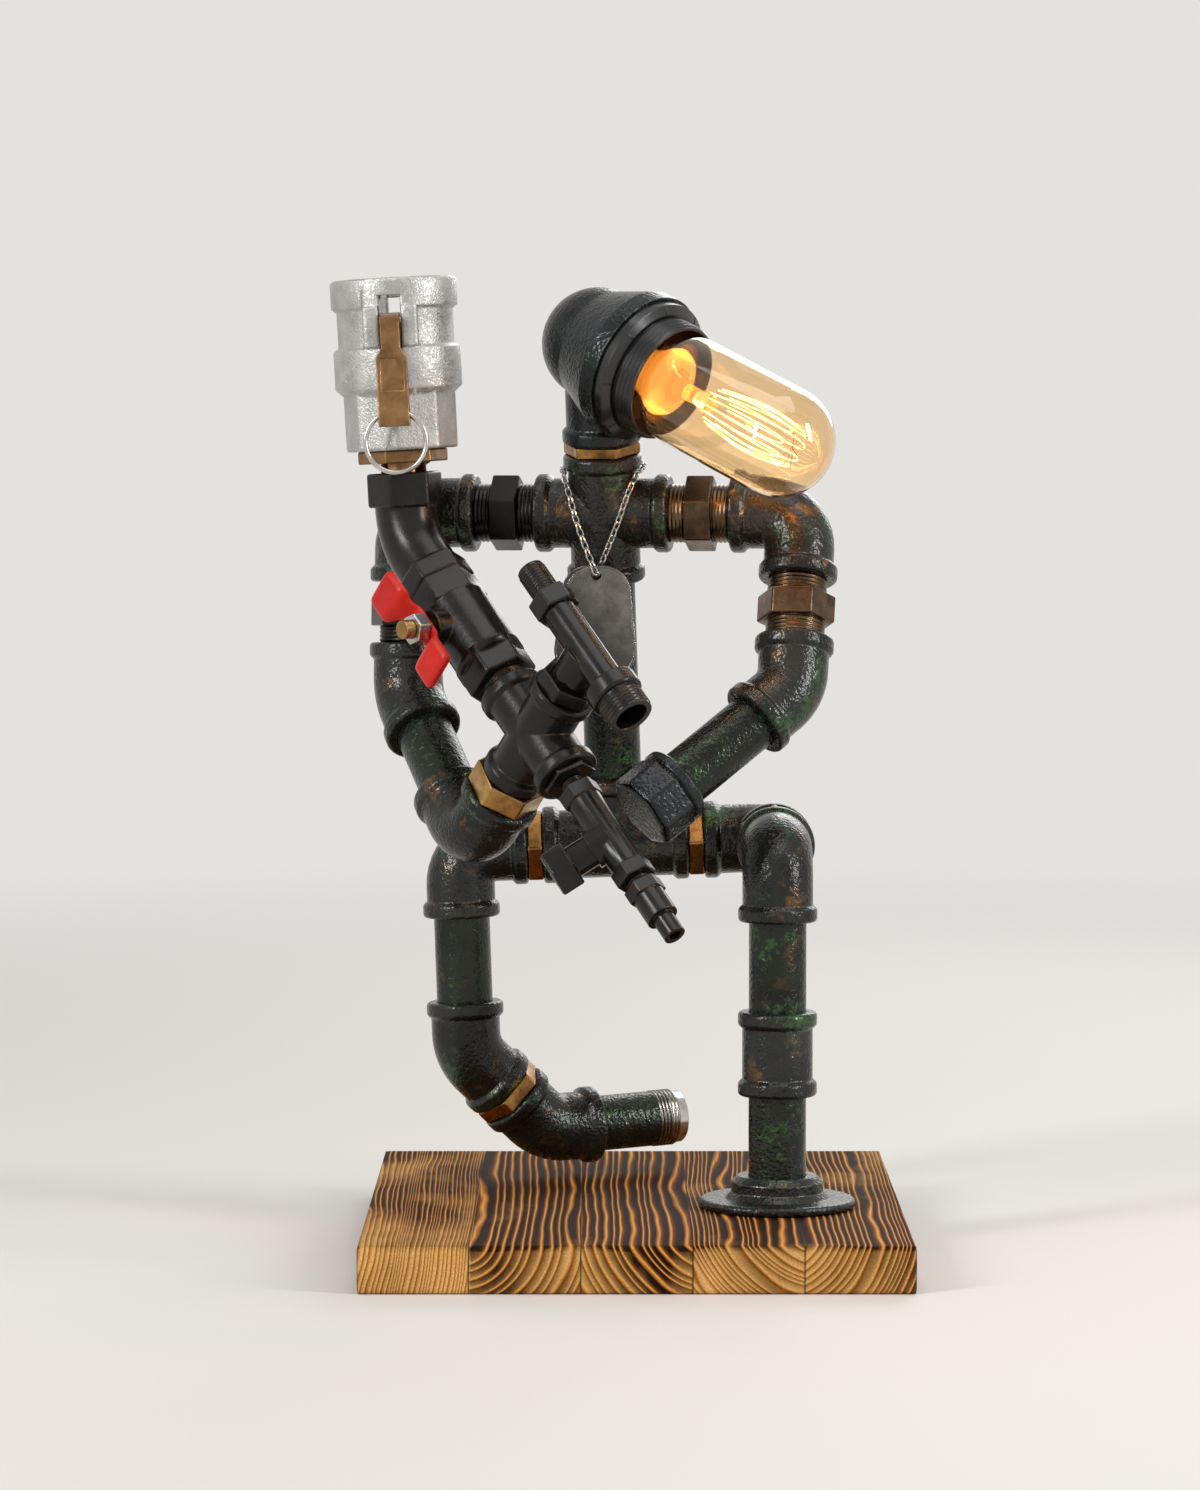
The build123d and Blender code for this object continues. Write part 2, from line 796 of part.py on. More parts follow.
filament_port = bulb_glass_port.offset(stem_length)
with BuildPart() as filament:
    stem_outline = [
        (0, glass_start + bulb_wall + thread_gap),
        (glass_neck_radius - bulb_wall - thread_gap, glass_start + bulb_wall + thread_gap),
        (glass_neck_radius - bulb_wall - thread_gap, 0),
        (stem_radius, stem_flare_length),
        (stem_radius, stem_length),
        (0, stem_length),
    ]
    rings(bulb_glass_port, stem_outline)
    rod(filament_port, stem_radius / 2, filament_length)
    rod(filament_port, filament_radius + 2 * filament_wire, filament_wire)
    rod(filament_port, filament_radius + 2 * filament_wire, filament_wire, start=filament_length - filament_wire)
    with BuildSketch(filament_port):
        with PolarLocations(filament_radius, filament_strands):
            Circle(filament_wire)
    extrude(amount=filament_length)
save("filament", filament)

# Chain round the neck, through the holes of the two tags
tag_hinge = Plane(
    chest.from_local_coords((0, -tag_hinge_front, -chain_drop)),
    x_dir=(1, 0, 0),
    z_dir=(0, -1, 0),
)
strand_side = chain_collar * sin(radians(chain_share["strand_angle"]))
strand_fore = chain_collar * cos(radians(chain_share["strand_angle"]))
strand_points = [
    (strand_side, -strand_fore, chain_collar_height),
    (
        strand_side * chain_share["inner"],
        -chain_front * chain_share["inner"],
        chain_collar_height * chain_share["low"],
    ),
    (strand_side * chain_share["low"], -chain_front, -chain_drop * chain_share["fall"]),
]
collar_points = [
    (chain_collar, chain_collar * chain_share["rear"], chain_collar_height),
    (chain_collar * chain_share["back"], chain_collar, chain_collar_height),
]
right_strand = [chest.from_local_coords(p) for p in strand_points]
left_strand = [chest.from_local_coords((-x, y, z)) for x, y, z in strand_points]
right_collar = [chest.from_local_coords(p) for p in collar_points]
left_collar = [chest.from_local_coords((-x, y, z)) for x, y, z in collar_points]
hole_front = tag_hinge.offset(hole_front_reach).origin
hole_back = tag_hinge.offset(-hole_back_reach).origin
chain_route = (
    [hole_back]
    + right_strand[::-1]
    + right_collar
    + left_collar[::-1]
    + left_strand
    + [hole_front, tag_hinge.offset(-hole_back_reach + 2 * chain_radius + loose_gap).origin]
)
with BuildPart() as neck_chain:
    with BuildLine() as chain_line:
        FilletPolyline(*chain_route, radius=chain_bend)
    chain_start = chain_line.line
    with BuildSketch(Plane(chain_start @ 0, z_dir=chain_start % 0)):
        Circle(chain_radius)
    sweep(path=chain_start)
save("neck_chain", neck_chain)


def tag(name, depth, tilt):
    """A rounded identity tag that hangs from its hole; depth is its place along the hole's axis."""
    sheet = turned(tag_hinge.offset(depth - tag_thick / 2), tilt)
    middle = tag_hole_inset - tag_length / 2
    with BuildPart() as plate:
        with BuildSketch(sheet):
            with Locations((0, middle)):
                RectangleRounded(tag_width, tag_length, tag_corner)
        extrude(amount=tag_thick)
        with BuildSketch(sheet.offset(tag_thick)):
            with Locations((0, middle)):
                RectangleRounded(tag_width, tag_length, tag_corner)
                RectangleRounded(
                    tag_width - 2 * tag_rim,
                    tag_length - 2 * tag_rim,
                    tag_corner - tag_rim,
                    mode=Mode.SUBTRACT,
                )
        extrude(amount=tag_rim_height)
        bore(sheet, tag_hole_radius, tag_thick + overrun)
    save(name, plate)


tag("tag_front", tag_spacing / 2 + tag_thick / 2, tag_tilt_front)
tag("tag_back", -tag_spacing / 2 - tag_thick / 2, tag_tilt_back)

# Cam coupling: eight sided foot, ring, waist with two lever housings, rim
with BuildPart() as coupling_body:
    prism(coupling_in, coupling_hex_across, coupling_hex_height, sides=8)
    coupling_outline = [
        (0, coupling_hex_height - coupling_step),
        (coupling_hex_across / 2, coupling_hex_height - coupling_step),
        (coupling_ring_radius, coupling_ring_low),
        (coupling_ring_radius, coupling_ring_high),
        (coupling_waist_radius, coupling_ring_high + coupling_step),
        (coupling_waist_radius, coupling_height - coupling_rim_height - coupling_step),
        (coupling_rim_radius, coupling_height - coupling_rim_height),
        (coupling_rim_radius, coupling_height - coupling_edge),
        (coupling_rim_radius - coupling_edge, coupling_height),
        (0, coupling_height),
    ]
    rings(coupling_in, coupling_outline)
    boss_height = coupling_height - coupling_rim_height - lever_boss_low
    with BuildSketch(coupling_in.offset(lever_boss_low)):
        Rectangle(2 * lever_boss_radius, lever_boss_width)
    extrude(amount=boss_height)
    bore(facing_back(coupling_in.offset(coupling_height)), coupling_bore_radius, coupling_bore_depth)
    bore(coupling_in, coupling_thread_radius + thread_gap, coupling_height - coupling_bore_depth + overrun)
    with BuildSketch(coupling_in.offset(lever_slot_low)):
        Rectangle(4 * lever_boss_radius, lever_slot_width)
    extrude(amount=lever_slot_high - lever_slot_low, mode=Mode.SUBTRACT)
    pin_plane = Plane(coupling_in.offset(lever_pin_height).origin, x_dir=coupling_in.x_dir, z_dir=coupling_in.y_dir)
    with BuildSketch(pin_plane):
        with Locations((lever_pin_reach, 0), (-lever_pin_reach, 0)):
            Circle(lever_pin_radius + running_gap)
    extrude(amount=lever_boss_width, both=True, mode=Mode.SUBTRACT)
save("coupling_body", coupling_body)

with BuildPart() as lever_pins:
    with BuildSketch(pin_plane):
        with Locations((lever_pin_reach, 0), (-lever_pin_reach, 0)):
            Circle(lever_pin_radius)
    extrude(amount=lever_boss_width / 2, both=True)
save("lever_pins", lever_pins)

gasket_port = coupling_in.offset(coupling_height - coupling_bore_depth)
with BuildPart() as coupling_gasket:
    with BuildSketch(gasket_port):
        Circle(gasket_radius)
        Circle(gasket_hole_radius, mode=Mode.SUBTRACT)
    extrude(amount=gasket_thick)
save("coupling_gasket", coupling_gasket)

with BuildPart() as coupling_bushing:
    prism(tap_bend_out, bushing_flange_across, bushing_flange_height, start=bushing_neck_gap)
    rod(tap_bend_out, tap_pipe_radius, tap_engagement + bushing_neck_gap, start=-tap_engagement)
    rod(tap_bend_out, coupling_thread_radius, bushing_screw_depth, start=bushing_exposed)
    bushing_length = tap_engagement + bushing_exposed + bushing_screw_depth
    bore(tap_bend_out, tap_pipe_radius - tap_pipe_wall, bushing_length + overrun, start=-tap_engagement)
save("coupling_bushing", coupling_bushing)


# Cam levers with their pull rings; X of the lever's port points out of the coupling


def cam_lever(name, ring_name, port, swing):
    """One lever, hung on its pin, and its ring turned out by the swing angle."""
    radial = Plane(port.origin, x_dir=port.x_dir, z_dir=-port.y_dir)
    inner = coupling_ring_radius + lever_clear
    outer = inner + lever_thick
    block = inner + lever_block_thick
    pin = (lever_pin_reach, lever_pin_height)
    nose = (lever_pin_reach - lever_cam_radius, lever_pin_height)
    with BuildPart() as lever:
        with BuildSketch(radial):
            with Locations(pin):
                Circle(lever_head_radius)
            with BuildLine():
                Polyline(
                    (lever_pin_reach, lever_pin_height - lever_head_radius),
                    nose,
                    (lever_pin_reach, lever_pin_height + lever_head_radius),
                    (outer, lever_pin_height + lever_head_radius / 2),
                    (outer, lever_narrow_end),
                    (inner, lever_narrow_end),
                    close=True,
                )
            make_face()
        extrude(amount=lever_width / 2, both=True)
        face = Plane(port.from_local_coords((inner, 0, 0)), x_dir=port.y_dir, z_dir=port.x_dir)
        half, wide_half = lever_width / 2, lever_wide_width / 2
        with BuildSketch(face):
            with BuildLine():
                Polyline(
                    (-half, lever_pin_height),
                    (half, lever_pin_height),
                    (half, lever_narrow_end),
                    (wide_half, lever_wide_start),
                    (wide_half, lever_end_height),
                    (-wide_half, lever_end_height),
                    (-wide_half, lever_wide_start),
                    (-half, lever_narrow_end),
                    close=True,
                )
            make_face()
        extrude(amount=lever_thick)
        with BuildSketch(radial):
            with BuildLine():
                Polyline(
                    (inner, lever_end_height),
                    (block, lever_end_height),
                    (block, lever_hole_height),
                    (outer, lever_block_height),
                    (inner, lever_block_height),
                    close=True,
                )
            make_face()
        extrude(amount=lever_wide_width / 2, both=True)
        panel_height = lever_wide_start - lever_block_height - lever_thick / 2
        with BuildSketch(face.offset(lever_thick)):
            with Locations((0, lever_wide_start - panel_height / 2)):
                Rectangle(lever_wide_width - lever_thick, panel_height)
        extrude(amount=-lever_panel_depth, mode=Mode.SUBTRACT)
        with BuildSketch(radial):
            with Locations(pin):
                Circle(lever_pin_radius + running_gap)
            with Locations(((inner + block) / 2 + lever_hole_out, lever_hole_height - lever_hole_drop)):
                Circle(lever_hole_radius)
        extrude(amount=lever_wide_width, both=True, mode=Mode.SUBTRACT)
    save(name, lever)
    hole = port.from_local_coords(((inner + block) / 2, 0, lever_hole_height))
    hang = bent(Plane(hole, x_dir=port.x_dir, z_dir=-port.z_dir), swing)
    ring_centre = hang.offset(ring_radius).origin
    with BuildPart() as ring:
        with BuildSketch(Plane(hole, x_dir=hang.x_dir, z_dir=port.y_dir)):
            Circle(ring_wire)
        revolve(axis=Axis(ring_centre, hang.x_dir))
    save(ring_name, ring)


cam_lever("cam_lever_front", "lever_ring_front", coupling_in, 0)
cam_lever("cam_lever_back", "lever_ring_back", turned(coupling_in, 180), back_ring_swing)

# Bend between coupling and valve, with a hexagon at each end
with BuildPart() as tap_bend:
    low_start = tap_bend_low_length
    bend_straight = tap_bend_outlet - tap_bend_top_length
    bend_centre_radius = bend_straight / tan(radians(tap_bend_angle / 2))
    bend_begin = tap_bend_in.offset(tap_bend_inlet - bend_straight)
    tap_bend_axis = Axis(bend_begin.origin + bend_begin.x_dir * bend_centre_radius, bend_begin.y_dir)
    rod(tap_bend_in, tap_pipe_radius, tap_engagement, start=-tap_engagement)
    prism(tap_bend_in, tap_bend_low_hex, low_start)
    rod(tap_bend_in, tap_bend_radius, tap_bend_inlet - bend_straight - low_start, start=low_start)
    with BuildSketch(bend_begin):
        Circle(tap_bend_radius)
    revolve(axis=tap_bend_axis, revolution_arc=tap_bend_angle)
    prism(facing_back(tap_bend_out), tap_bend_hex, tap_bend_top_length)
    bore(facing_back(tap_bend_out), tap_pipe_radius + thread_gap, tap_socket_depth)
    way = tap_pipe_radius - tap_pipe_wall
    bore(facing_back(tap_bend_out), way, tap_bend_top_length - tap_socket_depth, start=tap_socket_depth)
    with BuildSketch(bend_begin):
        Circle(way)
    revolve(axis=tap_bend_axis, revolution_arc=tap_bend_angle, mode=Mode.SUBTRACT)
    bore(tap_bend_in, way, tap_bend_inlet - bend_straight + tap_engagement, start=-tap_engagement)
save("tap_bend", tap_bend)

# Ball valve: screwed end, body with stem boss, seats, ball, stem
valve_way = valve_ball_bore
seat_reach = sqrt(valve_ball_radius**2 - valve_way**2)
seat_out = seat_reach + seat_thick
with BuildPart() as valve_end:
    rod(valve_port, tap_pipe_radius, tap_engagement + valve_end_neck, start=-tap_engagement)
    prism(valve_port, valve_end_hex, valve_end_hex_length, start=valve_end_neck)
    rod(valve_port, valve_collar_radius, valve_collar_length, start=valve_end_neck + valve_end_hex_length)
    end_plug = valve_ball_place - seat_out
    rod(valve_in, valve_cavity_radius - thread_gap, end_plug)
    bore(valve_port, valve_way, tap_engagement + valve_end_length + end_plug + overrun, start=-tap_engagement)
save("valve_end", valve_end)

with BuildPart() as valve_body:
    rod(valve_in, valve_body_radius, valve_body_length - valve_hex_length)
    prism(valve_in, valve_hex, valve_hex_length, start=valve_body_length - valve_hex_length)
    rod(stem_port, stem_boss_radius, stem_boss_reach)
    cavity_depth = valve_ball_place + seat_out
    bore(valve_in, valve_cavity_radius, cavity_depth)
    bore(valve_in, valve_way, valve_body_length - cavity_depth, start=cavity_depth)
    bore(facing_back(valve_out), tap_pipe_radius + thread_gap, tap_engagement + thread_gap)
    bore(stem_port, valve_stem_radius + running_gap, stem_boss_reach + overrun)
save("valve_body", valve_body)

with BuildPart() as valve_seats:
    for seat_port in (valve_ball_centre, facing_back(valve_ball_centre)):
        with BuildSketch(seat_port.offset(seat_reach - seat_thick / 2)):
            Circle(valve_cavity_radius - thread_gap)
            Circle(valve_way, mode=Mode.SUBTRACT)
        extrude(amount=seat_thick * 3 / 2)
    with BuildSketch(side(valve_ball_centre)):
        with BuildLine():
            CenterArc((0, 0), valve_ball_radius + running_gap, -90, 180)
            Line((0, valve_ball_radius + running_gap), (0, -valve_ball_radius - running_gap))
        make_face()
    revolve(axis=axis_of(valve_ball_centre), mode=Mode.SUBTRACT)
save("valve_seats", valve_seats)

tang_floor = valve_ball_radius - tang_depth
with BuildPart() as valve_ball:
    with BuildSketch(side(valve_ball_centre)):
        with BuildLine():
            CenterArc((0, 0), valve_ball_radius, -90, 180)
            Line((0, valve_ball_radius), (0, -valve_ball_radius))
        make_face()
    revolve(axis=axis_of(valve_ball_centre))
    bore(valve_ball_centre, valve_way, 2 * valve_ball_radius + overrun, start=-valve_ball_radius)
    with BuildSketch(stem_port.offset(tang_floor + tang_depth / 2)):
        Rectangle(tang_thick + 2 * running_gap, 2 * valve_ball_radius)
    extrude(amount=tang_depth, mode=Mode.SUBTRACT)
save("valve_ball", valve_ball)

with BuildPart() as valve_stem:
    rod(stem_port, valve_stem_radius, valve_stem_reach - valve_ball_radius - overrun, start=valve_ball_radius + overrun)
    with BuildSketch(stem_port.offset(tang_floor + tang_depth / 2 + running_gap)):
        Rectangle(tang_thick, valve_stem_radius)
    extrude(amount=tang_depth + overrun)
save("valve_stem", valve_stem)

# Butterfly handle: a bent strip whose two wings stand clear of the nut
with BuildPart() as valve_handle:
    hub_end = handle_hub_half
    wing_start = handle_hub_half + handle_rise
    strip = Plane(stem_port.origin, x_dir=stem_port.x_dir, z_dir=-stem_port.y_dir)
    low, high = handle_seat, handle_seat + handle_thick
    with BuildSketch(strip):
        with BuildLine():
            Polyline(
                (-handle_wing_half, low + handle_rise),
                (-wing_start, low + handle_rise),
                (-hub_end, low),
                (hub_end, low),
                (wing_start, low + handle_rise),
                (handle_wing_half, low + handle_rise),
                (handle_wing_half, high + handle_rise),
                (wing_start - handle_thick / 2, high + handle_rise),
                (hub_end - handle_thick / 2, high),
                (handle_thick / 2 - hub_end, high),
                (handle_thick / 2 - wing_start, high + handle_rise),
                (-handle_wing_half, high + handle_rise),
                close=True,
            )
        make_face()
    extrude(amount=handle_wing_width / 2, both=True)
    with BuildSketch(stem_port.offset(low - overrun)):
        with Locations((handle_wing_half / 2 + hub_end / 2, 0), (-handle_wing_half / 2 - hub_end / 2, 0)):
            RectangleRounded(handle_wing_half - hub_end, handle_wing_width, handle_corner)
        Rectangle(2 * wing_start, handle_hub_width)
    extrude(amount=handle_rise + handle_thick + 2 * overrun, mode=Mode.INTERSECT)
    bore(stem_port, valve_stem_radius + thread_gap, valve_stem_reach)
save("valve_handle", valve_handle)

with BuildPart() as handle_nut:
    prism(stem_port, nut_across, nut_height, start=handle_seat + handle_thick)
    bore(stem_port, valve_stem_radius + thread_gap, valve_stem_reach)
save("handle_nut", handle_nut)

# Cross of the dispenser
tap_runs = [
    (facing_back(scope_port), 2 * tap_cross_reach),
    (facing_back(barrel_port), 2 * tap_cross_reach),
    (facing_back(valve_port), tap_cross_reach),
    (hand_left_out.offset(grip_gap), tap_cross_reach),
]
hub("tap_cross", tap_runs, tap)

# Scope: hexagon nipple, tee body with an open mouth, hexagon plug at the rear
scope_seat = scope_place - tap_cross_reach - scope_branch_reach
with BuildPart() as scope_nipple:
    rod(scope_port, tap_pipe_radius, tap_engagement, start=-tap_engagement)
    prism(scope_port, scope_hex, scope_seat)
    rod(scope_port, scope_nipple_radius, scope_branch_reach - scope_radius, start=scope_seat)
    nipple_length = tap_engagement + scope_place - tap_cross_reach - scope_radius
    bore(scope_port, barrel_bore, nipple_length + overrun, start=-tap_engagement)
save("scope_nipple", scope_nipple)

scope_centre = tap_centre.offset(scope_place)
scope_ahead = bent(scope_centre, 90)
scope_behind = bent(scope_centre, -90)
with BuildPart() as scope_tee:
    rod(scope_behind, scope_radius, scope_rear)
    rod(scope_ahead, scope_radius, scope_front)
    collar_outline = [
        (0, scope_front),
        (scope_collar_radius, scope_front),
        (scope_collar_radius, scope_front + scope_collar_length),
        (0, scope_front + scope_collar_length),
    ]
    rings(scope_ahead, collar_outline, tap_bead_round)
    mouth_start = scope_front + scope_collar_length
    rod(scope_ahead, scope_mouth_radius, scope_mouth_length, start=mouth_start)
    rod(facing_back(scope_centre), scope_branch_radius, scope_branch_reach)
    mouth = facing_back(scope_ahead.offset(mouth_start + scope_mouth_length))
    bore(mouth, scope_mouth_radius - tap_pipe_wall, scope_mouth_length + scope_collar_length)
    bore(scope_behind, scope_plug_shank + thread_gap, scope_plug_depth + overrun, start=scope_rear - scope_plug_depth)
    bore(scope_port, scope_nipple_radius + thread_gap, scope_branch_reach - scope_radius, start=scope_seat)
save("scope_tee", scope_tee)

with BuildPart() as scope_plug:
    rod(scope_behind, scope_plug_shank, scope_plug_depth, start=scope_rear - scope_plug_depth)
    prism(scope_behind, scope_plug_hex, scope_plug_hex_length, start=scope_rear)
    rod(scope_behind, scope_plug_radius, scope_plug_length, start=scope_rear + scope_plug_hex_length)
    plug_end = facing_back(scope_behind.offset(scope_rear + scope_plug_hex_length + scope_plug_length))
    bore(plug_end, scope_plug_bore, scope_plug_length)
save("scope_plug", scope_plug)

# Barrel: bushing, rear piece with the magazine boss, front piece with the muzzle
rear_in = barrel_port.offset(barrel_bushing_gap + barrel_neck_gap)
rear_out = rear_in.offset(barrel_rear_length)
front_in = rear_out.offset(barrel_mid_gap)
with BuildPart() as barrel_bushing:
    rod(barrel_port, tap_pipe_radius, tap_engagement, start=-tap_engagement)
    prism(barrel_port, barrel_bushing_hex, barrel_bushing_gap)
    bore(barrel_port, barrel_neck_radius + thread_gap, barrel_screw + barrel_bushing_gap, start=-barrel_screw)
    bore(barrel_port, barrel_bore, tap_engagement, start=-tap_engagement)
save("barrel_bushing", barrel_bushing)

magazine_side = turned(rear_in.offset(magazine_place), magazine_turn)
magazine_port = Plane(magazine_side.origin, x_dir=magazine_side.z_dir, z_dir=magazine_side.x_dir)
with BuildPart() as barrel_rear:
    rod(rear_in, barrel_neck_radius, barrel_screw + barrel_neck_gap, start=-barrel_screw - barrel_neck_gap)
    prism(rear_in, barrel_rear_hex, barrel_rear_hex_length)
    rod(rear_in, barrel_rear_radius, barrel_rear_length - 2 * barrel_rear_hex_length, start=barrel_rear_hex_length)
    prism(rear_in, barrel_rear_hex, barrel_rear_hex_length, start=barrel_rear_length - barrel_rear_hex_length)
    rod(magazine_port, magazine_boss_radius, magazine_boss_reach)
    bore(facing_back(rear_out), barrel_neck_radius + thread_gap, barrel_screw)
    rear_length = barrel_rear_length + barrel_screw + barrel_neck_gap
    bore(rear_in, barrel_bore, rear_length + overrun, start=-barrel_screw - barrel_neck_gap)
    boss_face = facing_back(magazine_port.offset(magazine_boss_reach))
    bore(boss_face, magazine_shank_radius + thread_gap, magazine_shank_depth)
save("barrel_rear", barrel_rear)

with BuildPart() as barrel_front:
    rod(rear_out, barrel_neck_radius, barrel_screw + barrel_mid_gap, start=-barrel_screw)
    prism(front_in, barrel_front_hex, barrel_front_hex_length)
    rod(front_in, barrel_front_radius, barrel_front_length - barrel_front_hex_length, start=barrel_front_hex_length)
    rod(front_in, muzzle_radius, muzzle_length, start=barrel_front_length)
    bore(facing_back(front_in.offset(barrel_front_length + muzzle_length)), muzzle_bore, muzzle_length)
    bore(rear_out, barrel_bore, barrel_screw + barrel_mid_gap + barrel_front_length, start=-barrel_screw)
save("barrel_front", barrel_front)

with BuildPart() as magazine_plug:
    shank_start = magazine_boss_reach - magazine_shank_depth
    shank_length = magazine_shank_depth + magazine_shank_gap
    rod(magazine_port, magazine_shank_radius, shank_length, start=shank_start)
    prism(magazine_port, magazine_hex, magazine_hex_length, start=shank_start + shank_length)
    magazine_end = facing_back(magazine_port.offset(shank_start + shank_length + magazine_hex_length))
    bore(magazine_end, magazine_dish_radius, magazine_dish_depth)
save("magazine_plug", magazine_plug)

if __name__ == "__main__":
    for name, port in (
        ("handle hinge", stem_port),
        ("coupling", coupling_in),
        ("bulb", bulb_glass_port),
        ("tags", tag_hinge),
        ("muzzle", front_in.offset(barrel_front_length + muzzle_length)),
        ("foot", foot_end.offset(bushing_head)),
    ):
        place = [round(v, 3) for v in tuple(port.origin)]
        along = [round(v, 5) for v in tuple(port.z_dir)]
        across = [round(v, 5) for v in tuple(port.x_dir)]
        print(name, "at", place, "axis", along, "x", across)
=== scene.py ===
"""Looks of a kneeling figure of pipe fittings: a lamp for a head, a spirits dispenser in its hands.

Metres, +Z up, the viewer stands on the -Y side. Places are written in millimetres, as in the part's source.
"""

import json
import math

import bmesh
import bpy
from mathutils import Matrix, Vector


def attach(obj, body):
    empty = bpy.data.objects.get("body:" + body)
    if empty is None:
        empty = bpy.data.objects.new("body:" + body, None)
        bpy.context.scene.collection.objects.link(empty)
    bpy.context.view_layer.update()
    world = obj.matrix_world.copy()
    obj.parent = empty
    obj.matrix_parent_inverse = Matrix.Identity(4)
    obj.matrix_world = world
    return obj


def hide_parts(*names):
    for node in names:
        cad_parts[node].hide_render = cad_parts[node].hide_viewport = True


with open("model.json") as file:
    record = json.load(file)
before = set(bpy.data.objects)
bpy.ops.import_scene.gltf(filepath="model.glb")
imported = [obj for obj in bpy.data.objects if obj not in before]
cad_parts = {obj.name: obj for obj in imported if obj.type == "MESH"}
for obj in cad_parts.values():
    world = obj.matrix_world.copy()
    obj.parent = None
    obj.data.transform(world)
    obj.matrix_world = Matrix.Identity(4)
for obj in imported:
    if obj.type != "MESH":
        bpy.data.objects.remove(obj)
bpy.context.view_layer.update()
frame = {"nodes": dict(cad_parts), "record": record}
nodes = frame["nodes"]
scene = bpy.context.scene
scene.view_settings.view_transform = "Standard"
mm = 0.001
same_point = 0.001 * mm
smooth_below = math.radians(38)


# Ports
def port(place, along, sideways):
    """A frame whose Z runs along a fitting, from its place in mm and two directions."""
    z = Vector(along).normalized()
    x = Vector(sideways)
    x = (x - z * x.dot(z)).normalized()
    made = Matrix((x, z.cross(x), z)).transposed().to_4x4()
    made.translation = Vector(place) * mm
    return made


# Directions that several ports share: along the lamp, across the chest, and down the dispenser to its spout
lamp_axis, lamp_side = Vector((0.71351, -0.58082, -0.39187)), Vector((-0.18238, 0.38605, -0.90427))
chest_axis, chest_down = Vector((0.98542, -0.17016, -0.00023)), Vector((0.0342, 0.19937, -0.97933))
tap_axis, tap_side = Vector((0.48672, -0.54602, -0.68189)), Vector((-0.42937, 0.53026, -0.73107))

head_mouth = port((4.21, -21.05, 413.471), lamp_axis, lamp_side)
bulb_seat = port((4.695, -21.445, 413.204), lamp_axis, lamp_side)
shoulder_faces = [
    port((17.122, 7.158, 345.502), chest_axis, chest_down),
    port((76.214, -14.955, 314.645), (-0.06072, -0.35037, -0.93464), -chest_axis),
    port((-45.945, 18.048, 345.517), -chest_axis, -chest_down),
    port((-107.374, 26.711, 312.587), (-0.01011, -0.0572, -0.99831), chest_axis),
]
foot_start = port((-19.456, 71.677, 46.325), (0.91299, 0.40674, 0.03188), (-0.0349, 0, 0.99939))
scope_rear = port((-22.071, -106.55, 284.55), -tap_axis, -tap_side)
scope_front = port((-22.071, -106.55, 284.55), tap_axis, tap_side)
valve_neck = port((-58.026, -63.688, 265.627), -tap_axis, -tap_side)
barrel_start = port((-26.876, -98.633, 221.986), tap_axis, tap_side)
barrel_front = port((2.327, -131.394, 181.073), tap_axis, tap_side)
handle_axis = port((-78.469, -40.755, 294.267), (-0.76076, -0.64861, -0.02365), -tap_axis)


# Finishes
def tone(shade):
    """A linear colour from an sRGB hex value."""
    parts = [int(shade[i : i + 2], 16) / 255 for i in (1, 3, 5)]
    return [c / 12.92 if c <= 0.04045 else ((c + 0.055) / 1.055) ** 2.4 for c in parts] + [1.0]


def across(size):
    """The pattern scale for a grain of this size in mm, on coordinates in metres."""
    return 1000.0 / size


def add(tree, kind, sockets=None, stops=None, **settings):
    """Adds one node: its settings, its sockets (a value or another node's output) and a ramp's stops."""
    made = tree.nodes.new("ShaderNode" + kind)
    for name, value in settings.items():
        setattr(made, name, value)
    for name, value in (sockets or {}).items():
        if isinstance(value, bpy.types.NodeSocket):
            tree.links.new(value, made.inputs[name])
        else:
            made.inputs[name].default_value = value
    if stops:
        ramp = made.color_ramp
        while len(ramp.elements) < len(stops):
            ramp.elements.new(0.5)
        for element, (place, shade) in zip(ramp.elements, stops):
            element.position = place
            element.color = tone(shade)
    return made


def new_finish(name):
    """An empty material, its tree and its Object coordinates."""
    finish = bpy.data.materials.new(name)
    finish.use_nodes = True
    finish.node_tree.nodes.clear()
    place = add(finish.node_tree, "TexCoord")
    return finish, finish.node_tree, place.outputs["Object"]


def worn_edge(tree, place, width, patchy):
    """Rounded edges for the light, and a mask that is 1 on rubbed edges, broken up by patches in mm."""
    rounded = add(tree, "Bevel", {"Radius": width * mm}, samples=4)
    flat = add(tree, "NewGeometry")
    turn = add(
        tree, "VectorMath", {0: rounded.outputs[0], 1: flat.outputs["Normal"]}, operation="DOT_PRODUCT"
    )
    edge = add(tree, "MapRange", {"Value": turn.outputs["Value"], 1: 0.995, 2: 0.9, 3: 0.0, 4: 1.0})
    patch = add(tree, "TexNoise", {"Vector": place, "Scale": across(patchy), "Detail": 4.0})
    some = add(tree, "MapRange", {"Value": patch.outputs[0], 1: 0.42, 2: 0.62, 3: 0.0, 4: 1.0})
    mask = add(tree, "Math", {0: edge.outputs[0], 1: some.outputs[0]}, operation="MULTIPLY")
    return rounded.outputs[0], mask.outputs[0]


